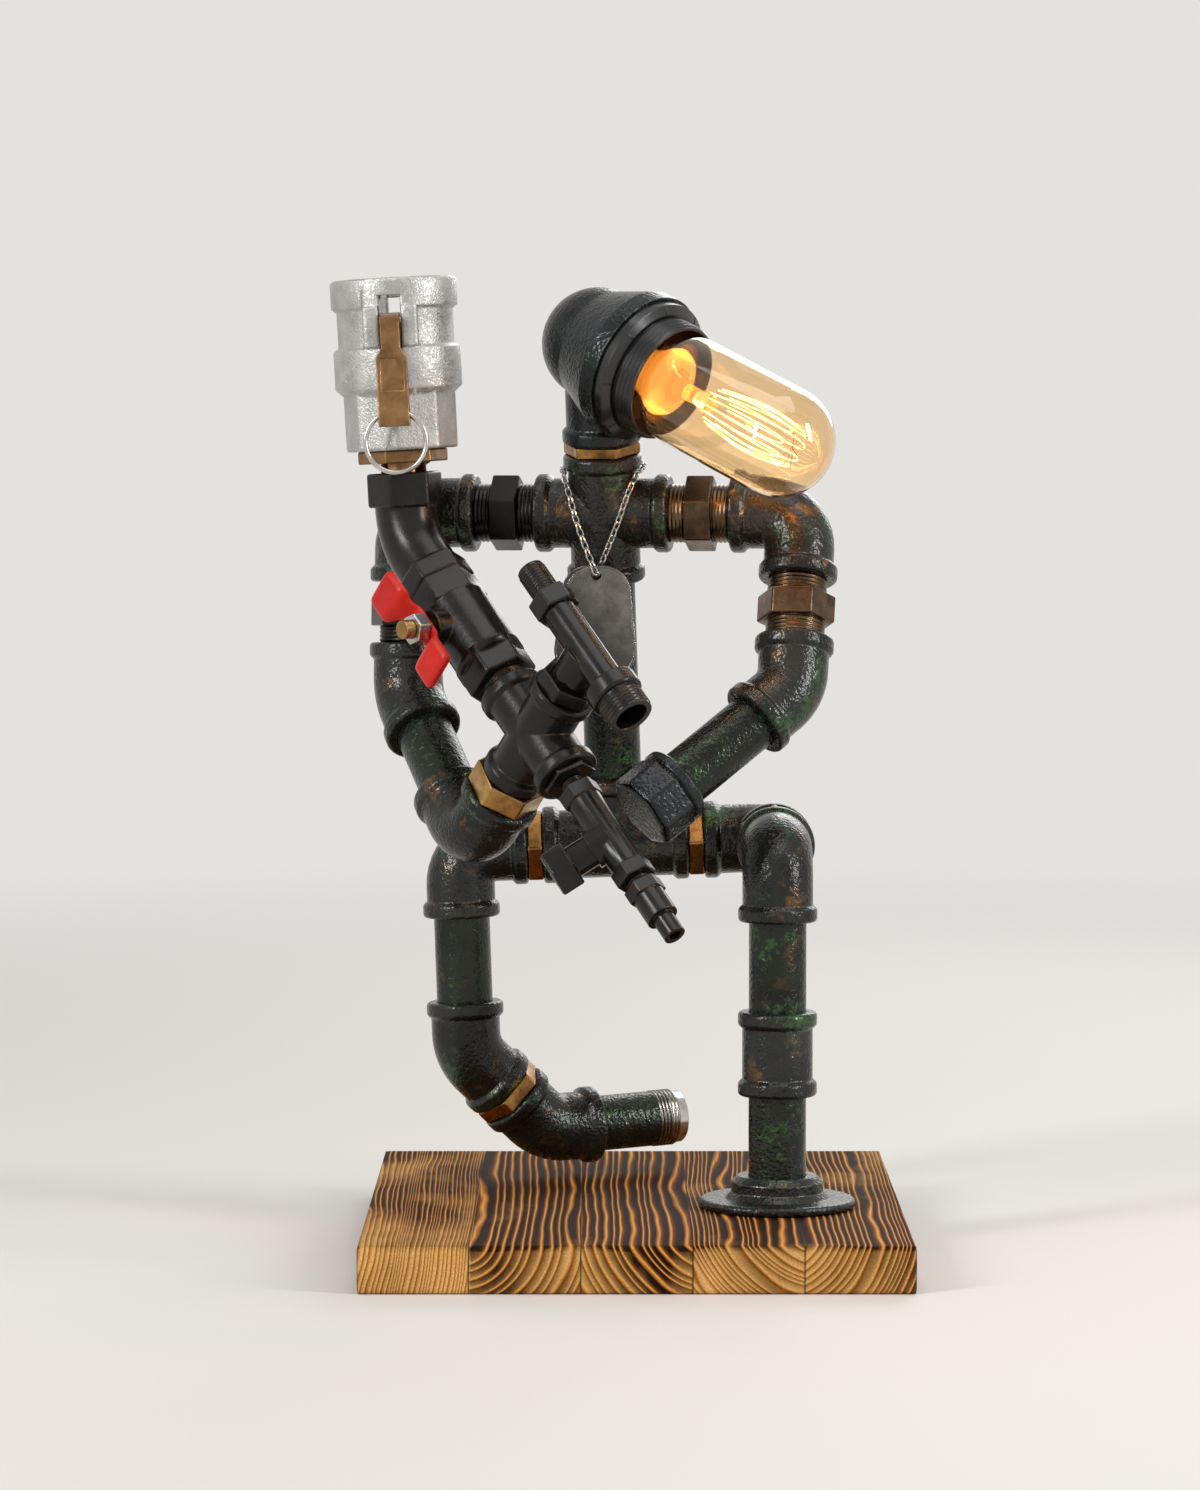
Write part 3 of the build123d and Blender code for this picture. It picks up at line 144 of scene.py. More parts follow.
def cast_iron(name, dark, mid, green, gold_and_glow, roughness):
    """Malleable cast iron, sand cast and blackened: a pebbled skin with green and a golden rub worked into
    it, the golden patches made stronger as a painted warm glow of the bulb's light.

    To the eye it is nearly black with sharp grey highlights that break up on the cast grain.
    """
    finish, tree, place = new_finish(name)
    rounded, edge = worn_edge(tree, place, 0.9, 7)
    cloud = add(tree, "TexNoise", {"Vector": place, "Scale": across(32), "Detail": 3.0})
    skin = add(tree, "ValToRGB", {0: cloud.outputs[0]}, stops=[(0.35, dark), (0.65, mid)])
    patch = add(
        tree, "TexNoise", {"Vector": place, "Scale": across(20), "Detail": 2.0, "Distortion": 0.6}
    )
    fleck = add(
        tree, "TexNoise", {"Vector": place, "Scale": across(2.6), "Detail": 5.0, "Roughness": 0.7}
    )
    both = add(tree, "Math", {0: patch.outputs[0], 1: fleck.outputs[0]}, operation="MULTIPLY")
    green_mask = add(
        tree, "MapRange", {"Value": both.outputs[0], 1: 0.315, 2: 0.365, 3: 0.0, 4: green}
    )
    greened = add(
        tree,
        "Mix",
        {0: green_mask.outputs[0], 6: skin.outputs[0], 7: tone("#44703a")},
        data_type="RGBA",
    )
    # Golden patches: partly a rub in the iron, partly a painted warm glow of the bulb's light
    gold_and_glow_patch = add(
        tree,
        "TexNoise",
        {"Vector": place, "Scale": across(13), "Detail": 5.0, "Roughness": 0.65, "Distortion": 0.4},
    )
    gold_and_glow_mask = add(
        tree, "MapRange", {"Value": gold_and_glow_patch.outputs[0], 1: 0.58, 2: 0.7, 3: 0.0, 4: gold_and_glow}
    )
    gilded_and_glowing = add(
        tree,
        "Mix",
        {0: gold_and_glow_mask.outputs[0], 6: greened.outputs[2], 7: tone("#8a6430")},
        data_type="RGBA",
    )
    rub = add(tree, "Math", {0: edge, 1: 0.75}, operation="MULTIPLY")
    colour = add(
        tree, "Mix", {0: rub.outputs[0], 6: gilded_and_glowing.outputs[2], 7: tone("#8a8a80")}, data_type="RGBA"
    )
    # Cast grain, drawn a little coarser than the real 1 mm so that it shows in the render
    pebble = add(
        tree, "TexNoise", {"Vector": place, "Scale": across(1.7), "Detail": 1.0, "Roughness": 0.5}
    )
    swell = add(tree, "TexNoise", {"Vector": place, "Scale": across(8), "Detail": 2.0})
    height = add(
        tree, "Math", {0: swell.outputs[0], 1: 0.6, 2: pebble.outputs[0]}, operation="MULTIPLY_ADD"
    )
    bump = add(
        tree,
        "Bump",
        {"Strength": 0.85, "Distance": 0.5 * mm, "Height": height.outputs[0], "Normal": rounded},
    )
    gloss = add(
        tree,
        "MapRange",
        {"Value": fleck.outputs[0], 1: 0.3, 2: 0.7, 3: roughness - 0.07, 4: roughness + 0.12},
    )
    shader = add(
        tree,
        "BsdfPrincipled",
        {
            "Base Color": colour.outputs[2],
            "Metallic": 0.72,
            "Roughness": gloss.outputs[0],
            "Normal": bump.outputs[0],
        },
    )
    add(tree, "OutputMaterial", {"Surface": shader.outputs[0]})
    return finish


def plated_metal(
    name, clean, stained, roughness, grain, depth, rub="#f0e2c4", wear=0.5, left="", soft=0.45
):
    """Turned or cast bare metal: a clean tone clouded by a stain, fine tool or sand grain, brighter edges.

    Grain, depth and soft, the width of the rounded edge, are in mm. Where left gives a shade, the pieces
    on the viewer's left are of that darker iron.
    """
    finish, tree, place = new_finish(name)
    rounded, edge = worn_edge(tree, place, soft, 4)
    cloud = add(
        tree,
        "TexNoise",
        {"Vector": place, "Scale": across(9), "Detail": 5.0, "Roughness": 0.6, "Distortion": 0.3},
    )
    clouded = add(tree, "ValToRGB", {0: cloud.outputs[0]}, stops=[(0.32, stained), (0.62, clean)])
    skin = clouded.outputs[0]
    if left:
        sides = add(tree, "SeparateXYZ", {0: place})
        far_left = add(
            tree, "MapRange", {"Value": sides.outputs[0], 1: -20 * mm, 2: -30 * mm, 3: 0.0, 4: 1.0}
        )
        two_tone = add(tree, "Mix", {0: far_left.outputs[0], 6: skin, 7: tone(left)}, data_type="RGBA")
        skin = two_tone.outputs[2]
    rubbed = add(tree, "Math", {0: edge, 1: wear}, operation="MULTIPLY")
    colour = add(tree, "Mix", {0: rubbed.outputs[0], 6: skin, 7: tone(rub)}, data_type="RGBA")
    fine = add(tree, "TexNoise", {"Vector": place, "Scale": across(grain), "Detail": 3.0})
    bump = add(
        tree,
        "Bump",
        {"Strength": 0.4, "Distance": depth * mm, "Height": fine.outputs[0], "Normal": rounded},
    )
    gloss = add(
        tree,
        "MapRange",
        {"Value": cloud.outputs[0], 1: 0.3, 2: 0.7, 3: roughness + 0.1, 4: roughness - 0.05},
    )
    shader = add(
        tree,
        "BsdfPrincipled",
        {
            "Base Color": colour.outputs[2],
            "Metallic": 1.0,
            "Roughness": gloss.outputs[0],
            "Normal": bump.outputs[0],
        },
    )
    add(tree, "OutputMaterial", {"Surface": shader.outputs[0]})
    return finish


def satin_black(name, roughness, grain, depth, soft):
    """Satin black paint on the dispenser's fittings, so thin that bronze shows on rubbed edges.

    Grain, depth and soft, the width of the rounded edge, are in mm.
    """
    finish, tree, place = new_finish(name)
    rounded, edge = worn_edge(tree, place, soft, 5)
    cloud = add(
        tree, "TexNoise", {"Vector": place, "Scale": across(14), "Detail": 4.0, "Roughness": 0.6}
    )
    skin = add(tree, "ValToRGB", {0: cloud.outputs[0]}, stops=[(0.35, "#0e0d0d"), (0.65, "#191716")])
    rub = add(tree, "Math", {0: edge, 1: 0.8}, operation="MULTIPLY")
    colour = add(
        tree, "Mix", {0: rub.outputs[0], 6: skin.outputs[0], 7: tone("#7d5a34")}, data_type="RGBA"
    )
    shine = add(tree, "Math", {0: rub.outputs[0], 1: 0.8, 2: 0.15}, operation="MULTIPLY_ADD")
    fine = add(tree, "TexNoise", {"Vector": place, "Scale": across(grain), "Detail": 3.0})
    bump = add(
        tree,
        "Bump",
        {"Strength": 0.45, "Distance": depth * mm, "Height": fine.outputs[0], "Normal": rounded},
    )
    gloss = add(
        tree,
        "MapRange",
        {"Value": cloud.outputs[0], 1: 0.3, 2: 0.7, 3: roughness - 0.06, 4: roughness + 0.1},
    )
    shader = add(
        tree,
        "BsdfPrincipled",
        {
            "Base Color": colour.outputs[2],
            "Metallic": shine.outputs[0],
            "Roughness": gloss.outputs[0],
            "Specular IOR Level": 0.36,
            "Normal": bump.outputs[0],
        },
    )
    add(tree, "OutputMaterial", {"Surface": shader.outputs[0]})
    return finish


def moulded(name, shade, deep, roughness, coat, shine=0.5):
    """Dipped or moulded plastic: one colour with a faint cloud, an orange-peel skin and soft edges."""
    finish, tree, place = new_finish(name)
    rounded, _ = worn_edge(tree, place, 1.1, 6)
    cloud = add(tree, "TexNoise", {"Vector": place, "Scale": across(11), "Detail": 3.0})
    skin = add(tree, "ValToRGB", {0: cloud.outputs[0]}, stops=[(0.35, deep), (0.6, shade)])
    peel = add(tree, "TexNoise", {"Vector": place, "Scale": across(1.6), "Detail": 1.0})
    bump = add(
        tree,
        "Bump",
        {"Strength": 0.12, "Distance": 0.12 * mm, "Height": peel.outputs[0], "Normal": rounded},
    )
    shader = add(
        tree,
        "BsdfPrincipled",
        {
            "Base Color": skin.outputs[0],
            "Roughness": roughness,
            "Coat Weight": coat,
            "Coat Roughness": 0.12,
            "IOR": 1.5,
            "Specular IOR Level": shine,
            "Normal": bump.outputs[0],
        },
    )
    add(tree, "OutputMaterial", {"Surface": shader.outputs[0]})
    return finish


def sand_cast_aluminium():
    """Aluminium as it leaves a sand mould: pale grey, every grain of the mould a small bright facet."""
    finish, tree, place = new_finish("sand_cast_aluminium")
    rounded, edge = worn_edge(tree, place, 1.6, 6)
    facet = add(tree, "TexVoronoi", {"Vector": place, "Scale": across(1.1)})
    spark = add(tree, "SeparateColor", {0: facet.outputs["Color"]})
    cloud = add(tree, "TexNoise", {"Vector": place, "Scale": across(9), "Detail": 4.0})
    skin = add(tree, "ValToRGB", {0: cloud.outputs[0]}, stops=[(0.3, "#a2a2a0"), (0.7, "#bcbcb9")])
    colour = add(tree, "Mix", {0: edge, 6: skin.outputs[0], 7: tone("#dcdcd8")}, data_type="RGBA")
    height = add(tree, "Math", {0: spark.outputs[0], 1: facet.outputs["Distance"]}, operation="ADD")
    bump = add(
        tree,
        "Bump",
        {"Strength": 0.6, "Distance": 0.2 * mm, "Height": height.outputs[0], "Normal": rounded},
    )
    gloss = add(tree, "MapRange", {"Value": spark.outputs[1], 1: 0.0, 2: 1.0, 3: 0.34, 4: 0.62})
    shader = add(
        tree,
        "BsdfPrincipled",
        {
            "Base Color": colour.outputs[2],
            "Metallic": 0.85,
            "Roughness": gloss.outputs[0],
            "Normal": bump.outputs[0],
        },
    )
    add(tree, "OutputMaterial", {"Surface": shader.outputs[0]})
    return finish


def charred_pine():
    """Softwood staves, torched and brushed: rings run front to back and show as arcs on the sawn front.

    Rings are distances from each stave's own heart line, so lines on top meet the arcs of the end grain.
    """
    finish, tree, place = new_finish("charred_pine")
    rounded, _ = worn_edge(tree, place, 1.2, 8)
    axes = add(tree, "SeparateXYZ", {0: place})
    stave_width = 50 * mm
    # Left to right: the heart line's place in stave widths and its height in mm, the rings' gap in mm,
    # and how deep the stave is burnt, as a grey
    staves = [
        (-4.0, 40, 1.9, "#3c3c3c"),
        (-0.05, 26, 4.0, "#c6c6c6"),
        (1.15, 34, 3.8, "#c2c2c2"),
        (1.25, 52, 2.6, "#989898"),
        (-0.3, 36, 3.0, "#909090"),
    ]
    slot = add(
        tree,
        "Math",
        {0: axes.outputs[0], 1: 1 / stave_width, 2: len(staves) / 2},
        operation="MULTIPLY_ADD",
    )
    index = add(tree, "Math", {0: slot.outputs[0]}, operation="FLOOR")
    inside = add(tree, "Math", {0: slot.outputs[0]}, operation="FRACT")
    heart_x = heart_z = ring_scale = 0.0
    for number, (where, height, gap, _) in enumerate(staves):
        here = add(tree, "Math", {0: index.outputs[0], 1: number, 2: 0.1}, operation="COMPARE")
        sums = ((where, heart_x), (height * mm, heart_z), (across(gap), ring_scale))
        heart_x, heart_z, ring_scale = (
            add(
                tree, "Math", {0: here.outputs[0], 1: value, 2: so_far}, operation="MULTIPLY_ADD"
            ).outputs[0]
            for value, so_far in sums
        )
    side = add(tree, "Math", {0: inside.outputs[0], 1: heart_x}, operation="SUBTRACT")
    side_m = add(tree, "Math", {0: side.outputs[0], 1: stave_width}, operation="MULTIPLY")
    deep = add(tree, "Math", {0: axes.outputs[2], 1: heart_z}, operation="SUBTRACT")
    from_heart = add(tree, "CombineXYZ", {0: side_m.outputs[0], 1: deep.outputs[0]})
    radius = add(tree, "VectorMath", {0: from_heart.outputs[0]}, operation="LENGTH").outputs["Value"]
    # Good and poor years: the rings widen and close up by turns, about every 13 mm, by up to 8 mm
    stave_seed = add(tree, "Math", {0: index.outputs[0], 1: 7.3}, operation="MULTIPLY")
    age = add(
        tree, "Math", {0: radius, 1: across(13), 2: stave_seed.outputs[0]}, operation="MULTIPLY_ADD"
    )
    years = add(
        tree, "TexNoise", {"W": age.outputs[0], "Scale": 1.0, "Detail": 1.0}, noise_dimensions="1D"
    )
    grown = add(tree, "Math", {0: years.outputs[0], 1: 8 * mm, 2: radius}, operation="MULTIPLY_ADD")
    # The lines sway within 11 mm on their way from front to back
    sway_place = add(tree, "Mapping", {"Vector": place, "Scale": (1.0, 0.5, 1.0)})
    sway = add(
        tree, "TexNoise", {"Vector": sway_place.outputs[0], "Scale": across(90), "Detail": 2.0}
    )
    sway_x = add(tree, "Math", {0: sway.outputs[0], 1: 0.5}, operation="SUBTRACT")
    bent = add(
        tree, "Math", {0: sway_x.outputs[0], 1: 11 * mm, 2: grown.outputs[0]}, operation="MULTIPLY_ADD"
    )
    rings = add(tree, "Math", {0: bent.outputs[0], 1: ring_scale}, operation="MULTIPLY")
    ring = add(tree, "Math", {0: rings.outputs[0]}, operation="FRACT")
    fibre_place = add(tree, "Mapping", {"Vector": place, "Scale": (1.0, 0.03, 1.0)})
    fibre = add(
        tree, "TexNoise", {"Vector": fibre_place.outputs[0], "Scale": across(0.9), "Detail": 3.0}
    )
    # The top is drawn darker than the sawn sides, and the torch reaches the sides in patches
    burn_place = add(tree, "Mapping", {"Vector": place, "Scale": (1.0, 0.55, 0.6)})
    burn = add(
        tree, "TexNoise", {"Vector": burn_place.outputs[0], "Scale": across(45), "Detail": 4.0}
    )
    top = add(
        tree, "MapRange", {"Value": axes.outputs[2], 1: 19 * mm, 2: 21.8 * mm, 3: -0.06, 4: 0.16}
    )
    along_staves = add(tree, "Math", {0: slot.outputs[0], 1: len(staves)}, operation="DIVIDE")
    greys = [(number / len(staves), grey) for number, (_, _, _, grey) in enumerate(staves)]
    burnt = add(tree, "ValToRGB", {0: along_staves.outputs[0]}, stops=greys)
    burnt.color_ramp.interpolation = "CONSTANT"
    burn_1 = add(tree, "Math", {0: burn.outputs[0], 1: top.outputs[0]}, operation="ADD")
    burn_2 = add(
        tree, "Math", {0: burnt.outputs[0], 1: 0.45, 2: burn_1.outputs[0]}, operation="MULTIPLY_ADD"
    )
    char = add(tree, "MapRange", {"Value": burn_2.outputs[0], 1: 0.42, 2: 0.78, 3: 0.0, 4: 1.0})
    pale_ring = [(0.0, "#9a5c22"), (0.22, "#cf8f45"), (0.6, "#e9bb78"), (0.85, "#dca55c"), (1.0, "#8f521c")]
    dark_ring = [(0.0, "#180c05"), (0.4, "#2a1408"), (0.6, "#74400f")]
    dark_ring += [(0.76, "#e8a650"), (0.88, "#a56222"), (1.0, "#180c05")]
    pale = add(tree, "ValToRGB", {0: ring.outputs[0]}, stops=pale_ring)
    dark = add(tree, "ValToRGB", {0: ring.outputs[0]}, stops=dark_ring)
    wood = add(
        tree, "Mix", {0: char.outputs[0], 6: pale.outputs[0], 7: dark.outputs[0]}, data_type="RGBA"
    )
    streak = add(tree, "MapRange", {"Value": fibre.outputs[0], 1: 0.3, 2: 0.7, 3: 0.72, 4: 1.12})
    streaked = add(
        tree, "VectorMath", {0: wood.outputs[2], "Scale": streak.outputs[0]}, operation="SCALE"
    )
    # Glue lines between the staves
    seam_side = add(tree, "Math", {0: inside.outputs[0], 1: 0.5}, operation="SUBTRACT")
    seam_far = add(tree, "Math", {0: seam_side.outputs[0]}, operation="ABSOLUTE")
    seam = add(tree, "MapRange", {"Value": seam_far.outputs[0], 1: 0.488, 2: 0.496, 3: 0.0, 4: 0.75})
    colour = add(
        tree, "Mix", {0: seam.outputs[0], 6: streaked.outputs[0], 7: tone("#2a1608")}, data_type="RGBA"
    )
    relief = add(tree, "Math", {0: ring.outputs[0], 1: fibre.outputs[0]}, operation="ADD")
    bump = add(
        tree,
        "Bump",
        {"Strength": 0.4, "Distance": 0.4 * mm, "Height": relief.outputs[0], "Normal": rounded},
    )
    shader = add(
        tree,
        "BsdfPrincipled",
        {
            "Base Color": colour.outputs[2],
            "Roughness": 0.7,
            "Specular IOR Level": 0.08,
            "Normal": bump.outputs[0],
        },
    )
    add(tree, "OutputMaterial", {"Surface": shader.outputs[0]})
    return finish


def amber_glass(name, shade, painted_glow):
    """Blown soda glass with an amber tint: clear and glossy, and the light of the wires gets out of it.
    Where asked, the glass also glows orange of its own, a painted glow for the wires' light caught in it.
    """
    finish, tree, place = new_finish(name)
    wave = add(tree, "TexNoise", {"Vector": place, "Scale": across(26), "Detail": 1.0})
    bump = add(tree, "Bump", {"Strength": 0.08, "Distance": 0.5 * mm, "Height": wave.outputs[0]})
    glass = add(
        tree,
        "BsdfPrincipled",
        {
            "Base Color": tone(shade),
            "Roughness": 0.0,
            "IOR": 1.46,
            "Transmission Weight": 1.0,
            # The glass's emission is a painted glow, standing in for the wires' light caught in it
            "Emission Color": tone("#ffa848"),
            "Emission Strength": painted_glow,
            "Normal": bump.outputs[0],
        },
    )
    clear = add(tree, "BsdfTransparent", {"Color": tone("#ffe2b0")})
    ray = add(tree, "LightPath")
    mixed = add(
        tree, "MixShader", {0: ray.outputs["Is Shadow Ray"], 1: glass.outputs[0], 2: clear.outputs[0]}
    )
    add(tree, "OutputMaterial", {"Surface": mixed.outputs[0]})
    return finish


def lit_wire():
    """Carbonised wire at a dull lamp heat: yellow-white, a little uneven along its length."""
    finish, tree, place = new_finish("lit_wire")
    heat = add(tree, "TexNoise", {"Vector": place, "Scale": across(7), "Detail": 1.0})
    shade = add(tree, "ValToRGB", {0: heat.outputs[0]}, stops=[(0.35, "#ffae4e"), (0.6, "#ffdf98")])
    shader = add(
        tree,
        "BsdfPrincipled",
        {
            "Base Color": tone("#d98a3a"),
            "Emission Color": shade.outputs[0],
            "Emission Strength": 8.0,
            "Roughness": 0.5,
        },
    )
    add(tree, "OutputMaterial", {"Surface": shader.outputs[0]})
    return finish


iron = cast_iron("cast_iron_patina", "#252626", "#3b3c3a", 0.45, 0.55, 0.21)
iron_head = cast_iron("cast_iron_head", "#232527", "#313436", 0.05, 0.1, 0.23)
pipe_iron = cast_iron("drawn_iron_pipe", "#212320", "#31352e", 0.5, 0.25, 0.21)
bronze = plated_metal("bronzed_brass", "#ab7f49", "#5f4225", 0.26, 0.8, 0.05)
dark_bronze = plated_metal("darkened_bronze", "#6d5640", "#3a2e24", 0.27, 0.8, 0.05, left="#2a2725")
gold_brass = plated_metal("turned_brass", "#bb955c", "#86653c", 0.24, 0.6, 0.04)
dull_bronze = plated_metal("cast_bronze", "#9a7650", "#6d5236", 0.36, 1.0, 0.14, rub="#d9bd92", wear=0.8)
steel = plated_metal("bright_steel", "#c9c7c2", "#8f8c86", 0.22, 0.6, 0.03, rub="#ffffff", wear=0.3)
wire_steel = plated_metal("drawn_steel_wire", "#cbc8c2", "#aaa6a0", 0.2, 0.6, 0.01, wear=0.0, soft=0.06)
tag_steel = plated_metal("rolled_tag_steel", "#85817b", "#605d59", 0.24, 0.5, 0.03, rub="#ebe7de", wear=1.0)
black_cast = satin_black("black_paint_on_castings", 0.24, 1.6, 0.16, 1.2)
black_turned = satin_black("black_paint_on_turned_brass", 0.2, 0.9, 0.05, 0.7)
red = moulded("red_dip", "#d01c0c", "#b81408", 0.38, 0.05, 0.3)
holder_black = moulded("phenolic_black", "#161617", "#0f0f10", 0.24, 0.2)
rubber = moulded("nitrile_rubber", "#1c1b1b", "#131212", 0.7, 0.0)
seat_white = moulded("ptfe_white", "#efeeea", "#e2e0da", 0.5, 0.0)
aluminium = sand_cast_aluminium()
pine = charred_pine()
bulb_tint = amber_glass("amber_glass", "#ffe9c6", 0.0)
# The stem's glass gets a painted orange glow for the wires' light caught in it, the bulb's glass none
glowing_stem_finish = amber_glass("stem_glass_painted_glow", "#fff1d8", 0.5)
wire = lit_wire()

looks = {
    iron: "floor_flange leg_socket knee_elbow_right hip_elbow_right hip_tee hip_elbow_left knee_bend_left "
    "shin_bend_left chest_cross shoulder_elbow_right shoulder_elbow_left arm_bend_right arm_bend_left "
    "hand_elbow",
    iron_head: "head_elbow hand_cap",
    pipe_iron: "leg_nipple_lower leg_pipes foot_pipe spine_pipe forearm_pipe_right forearm_pipe_left",
    bronze: "short_nipples",
    dark_bronze: "long_nipples",
    gold_brass: "grip_nipple valve_stem lamp_contact bulb_cap",
    dull_bronze: "cam_lever_front cam_lever_back coupling_bushing",
    steel: "back_nut lever_pins handle_nut valve_ball foot_bushing",
    wire_steel: "lever_ring_front lever_ring_back neck_chain",
    tag_steel: "tag_front tag_back",
    black_cast: "tap_bend valve_end valve_body tap_cross",
    black_turned: "scope_nipple scope_tee scope_plug barrel_bushing barrel_rear barrel_front magazine_plug",
    red: "valve_handle",
    holder_black: "lamp_holder",
    rubber: "coupling_gasket",
    seat_white: "valve_seats",
    aluminium: "coupling_body",
    pine: "wood_base",
    bulb_tint: "bulb_glass",
    wire: "filament",
}
for finish, names in looks.items():
    for name in names.split():
        nodes[name].data.materials.clear()
        nodes[name].data.materials.append(finish)


# Pieces
def piece(name, shape, where, body, finish, stands_for=()):
    """Puts a bmesh in its place, makes it an object, and lets it ride on a body."""
    bmesh.ops.transform(shape, matrix=where, verts=shape.verts)
    bmesh.ops.remove_doubles(shape, verts=shape.verts, dist=same_point)
    bmesh.ops.recalc_face_normals(shape, faces=shape.faces)
    mesh = bpy.data.meshes.new(name)
    shape.to_mesh(mesh)
    shape.free()
    mesh.shade_smooth()
    mesh.set_sharp_from_angle(angle=smooth_below)
    mesh.materials.append(finish)
    made = bpy.data.objects.new(name, mesh)
    scene.collection.objects.link(made)
    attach(made, body)
    if stands_for:
        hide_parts(*stands_for)
    return made


def turned(profile, steps=72, closed=False):
    """A turned shape: a line of (radius, height) points in mm, spun about Z."""
    shape = bmesh.new()
    line = [shape.verts.new((r * mm, 0, z * mm)) for r, z in profile]
    pairs = list(zip(line, line[1:])) + ([(line[-1], line[0])] if closed else [])
    edges = [shape.edges.new(pair) for pair in pairs]
    bmesh.ops.spin(
        shape,
        geom=line + edges,
        cent=(0, 0, 0),
        axis=(0, 0, 1),
        angle=2 * math.pi,
        steps=steps,
        use_merge=True,
    )
    return shape


def thread(radius, start, length, pitch, depth, steps=72):
    """The ridges of a pipe thread, standing on a cylinder of this radius, in mm."""
    sunk = 0.05
    root_share, crest_share = 0.05, 0.42
    under = radius - depth
    profile = [(under, start)]
    for turn in range(int(length / pitch)):
        low, high = start + turn * pitch, start + (turn + 1) * pitch
        profile += [
            (radius - sunk, low + root_share * pitch),
            (radius + depth, low + crest_share * pitch),
            (radius + depth, high - crest_share * pitch),
            (radius - sunk, high - root_share * pitch),
        ]
    profile.append((under, profile[-1][1]))
    return turned(profile, steps, closed=True)


slot_of = {part["node"]: part["material_slot"] for part in frame["record"]["subparts"]}
body_of = {node: body for body, held in frame["record"]["behaviour"]["bodies"].items() for node in held}
finish_of = {node: finish for finish, names in looks.items() for node in names.split()}


def eased(node, width):
    """A copy of a node in its place, with its long straight outer edges rounded by this many mm."""
    flat_within, corner_above, long_above = math.radians(0.4), math.radians(25), 4.0 * mm
    shape = bmesh.new()
    shape.from_mesh(nodes[node].data)
    bmesh.ops.remove_doubles(shape, verts=shape.verts, dist=2 * same_point)
    bmesh.ops.dissolve_limit(shape, angle_limit=flat_within, verts=shape.verts[:], edges=shape.edges[:])
    corners = [
        edge
        for edge in shape.edges
        if edge.is_manifold
        and edge.calc_length() > long_above
        and edge.calc_face_angle_signed() > corner_above
    ]
    bmesh.ops.bevel(
        shape,
        geom=corners,
        offset=width * mm,
        offset_type="OFFSET",
        affect="EDGES",
        segments=3,
        profile=0.5,
        clamp_overlap=False,
        material=-1,
    )
    body, finish, slot = body_of[node], finish_of[node], slot_of[node]
    made = piece(node + "_eased", shape, Matrix.Identity(4), body, finish, [node])
    flat_sides = made.modifiers.new("flat_sides", "WEIGHTED_NORMAL")
    flat_sides.keep_sharp = True


# Hexagons and castings whose edges are rounded on the real fittings, by these widths in mm
for width, names in (
    (0.5, "cam_lever_front cam_lever_back"),
    (0.6, "handle_nut barrel_rear barrel_bushing"),
    (0.9, "scope_nipple scope_plug magazine_plug short_nipples long_nipples grip_nipple"),
    (0.9, "coupling_bushing back_nut"),
    (1.3, "tap_bend valve_end wood_base"),
    (1.6, "hand_cap coupling_body"),
):
    for name in names.split():
        eased(name, width)

# Threads that show beside the shoulders' hexagons and at the foot: radius, start, length, pitch and depth
# in mm, and the number of sides where it isn't 72
for count, face in enumerate(shoulder_faces):
    for end, start in (("near", 0.2), ("far", 21.1)):
        ridges = thread(13.45, start, 7.8, 1.9, 0.45)
        piece(f"shoulder_thread_{count}_{end}", ridges, face, "frame", dark_bronze)
piece("foot_thread", thread(13.3, 30.2, 10.8, 1.8, 0.5), foot_start, "frame", tag_steel)

# The foot's open end: a bright round lip around the bore
foot_end = [(4.6, 37), (13.3, 37), (13.3, 41.4), (12.7, 42.2), (12.7, 44.9)]
foot_end += [(12.1, 45.7), (11.2, 46), (10.4, 45.2), (10.4, 41), (4.6, 41)]
piece("foot_lip", turned(foot_end, closed=True), foot_start, "frame", steel, ["foot_bushing"])

# Threads of the dispenser and the lamp holder, with the same sizes in the same order
for name, sizes, where, body, finish, slot in (
    ("scope_mouth_thread", (10.4, 30.0, 10.2, 1.9, 0.5), scope_front, "frame", black_turned, "black_steel"),
    ("scope_rear_thread", (6.4, 37.0, 15.4, 1.7, 0.4), scope_rear, "frame", black_turned, "black_steel"),
    ("valve_neck_thread", (10.65, 0.2, 4.6, 1.5, 0.4), valve_neck, "frame", black_cast, "black_iron"),
    ("barrel_neck_thread", (5.0, -4.8, 4.6, 1.2, 0.3), barrel_start, "frame", black_turned, "black_steel"),
    ("barrel_joint_thread", (5.0, -3.8, 3.6, 1.2, 0.3), barrel_front, "frame", black_turned, "black_steel"),
    ("handle_stem_thread", (4.2, 32.8, 5.0, 1.0, 0.2, 40), handle_axis, "valve", gold_brass, "brass"),
):
    piece(name, thread(*sizes), where, body, finish)
sleeve = thread(27.8, 7.6, 9.8, 2.4, 0.8, 96)
piece("lamp_sleeve_thread", sleeve, head_mouth, "frame", holder_black)

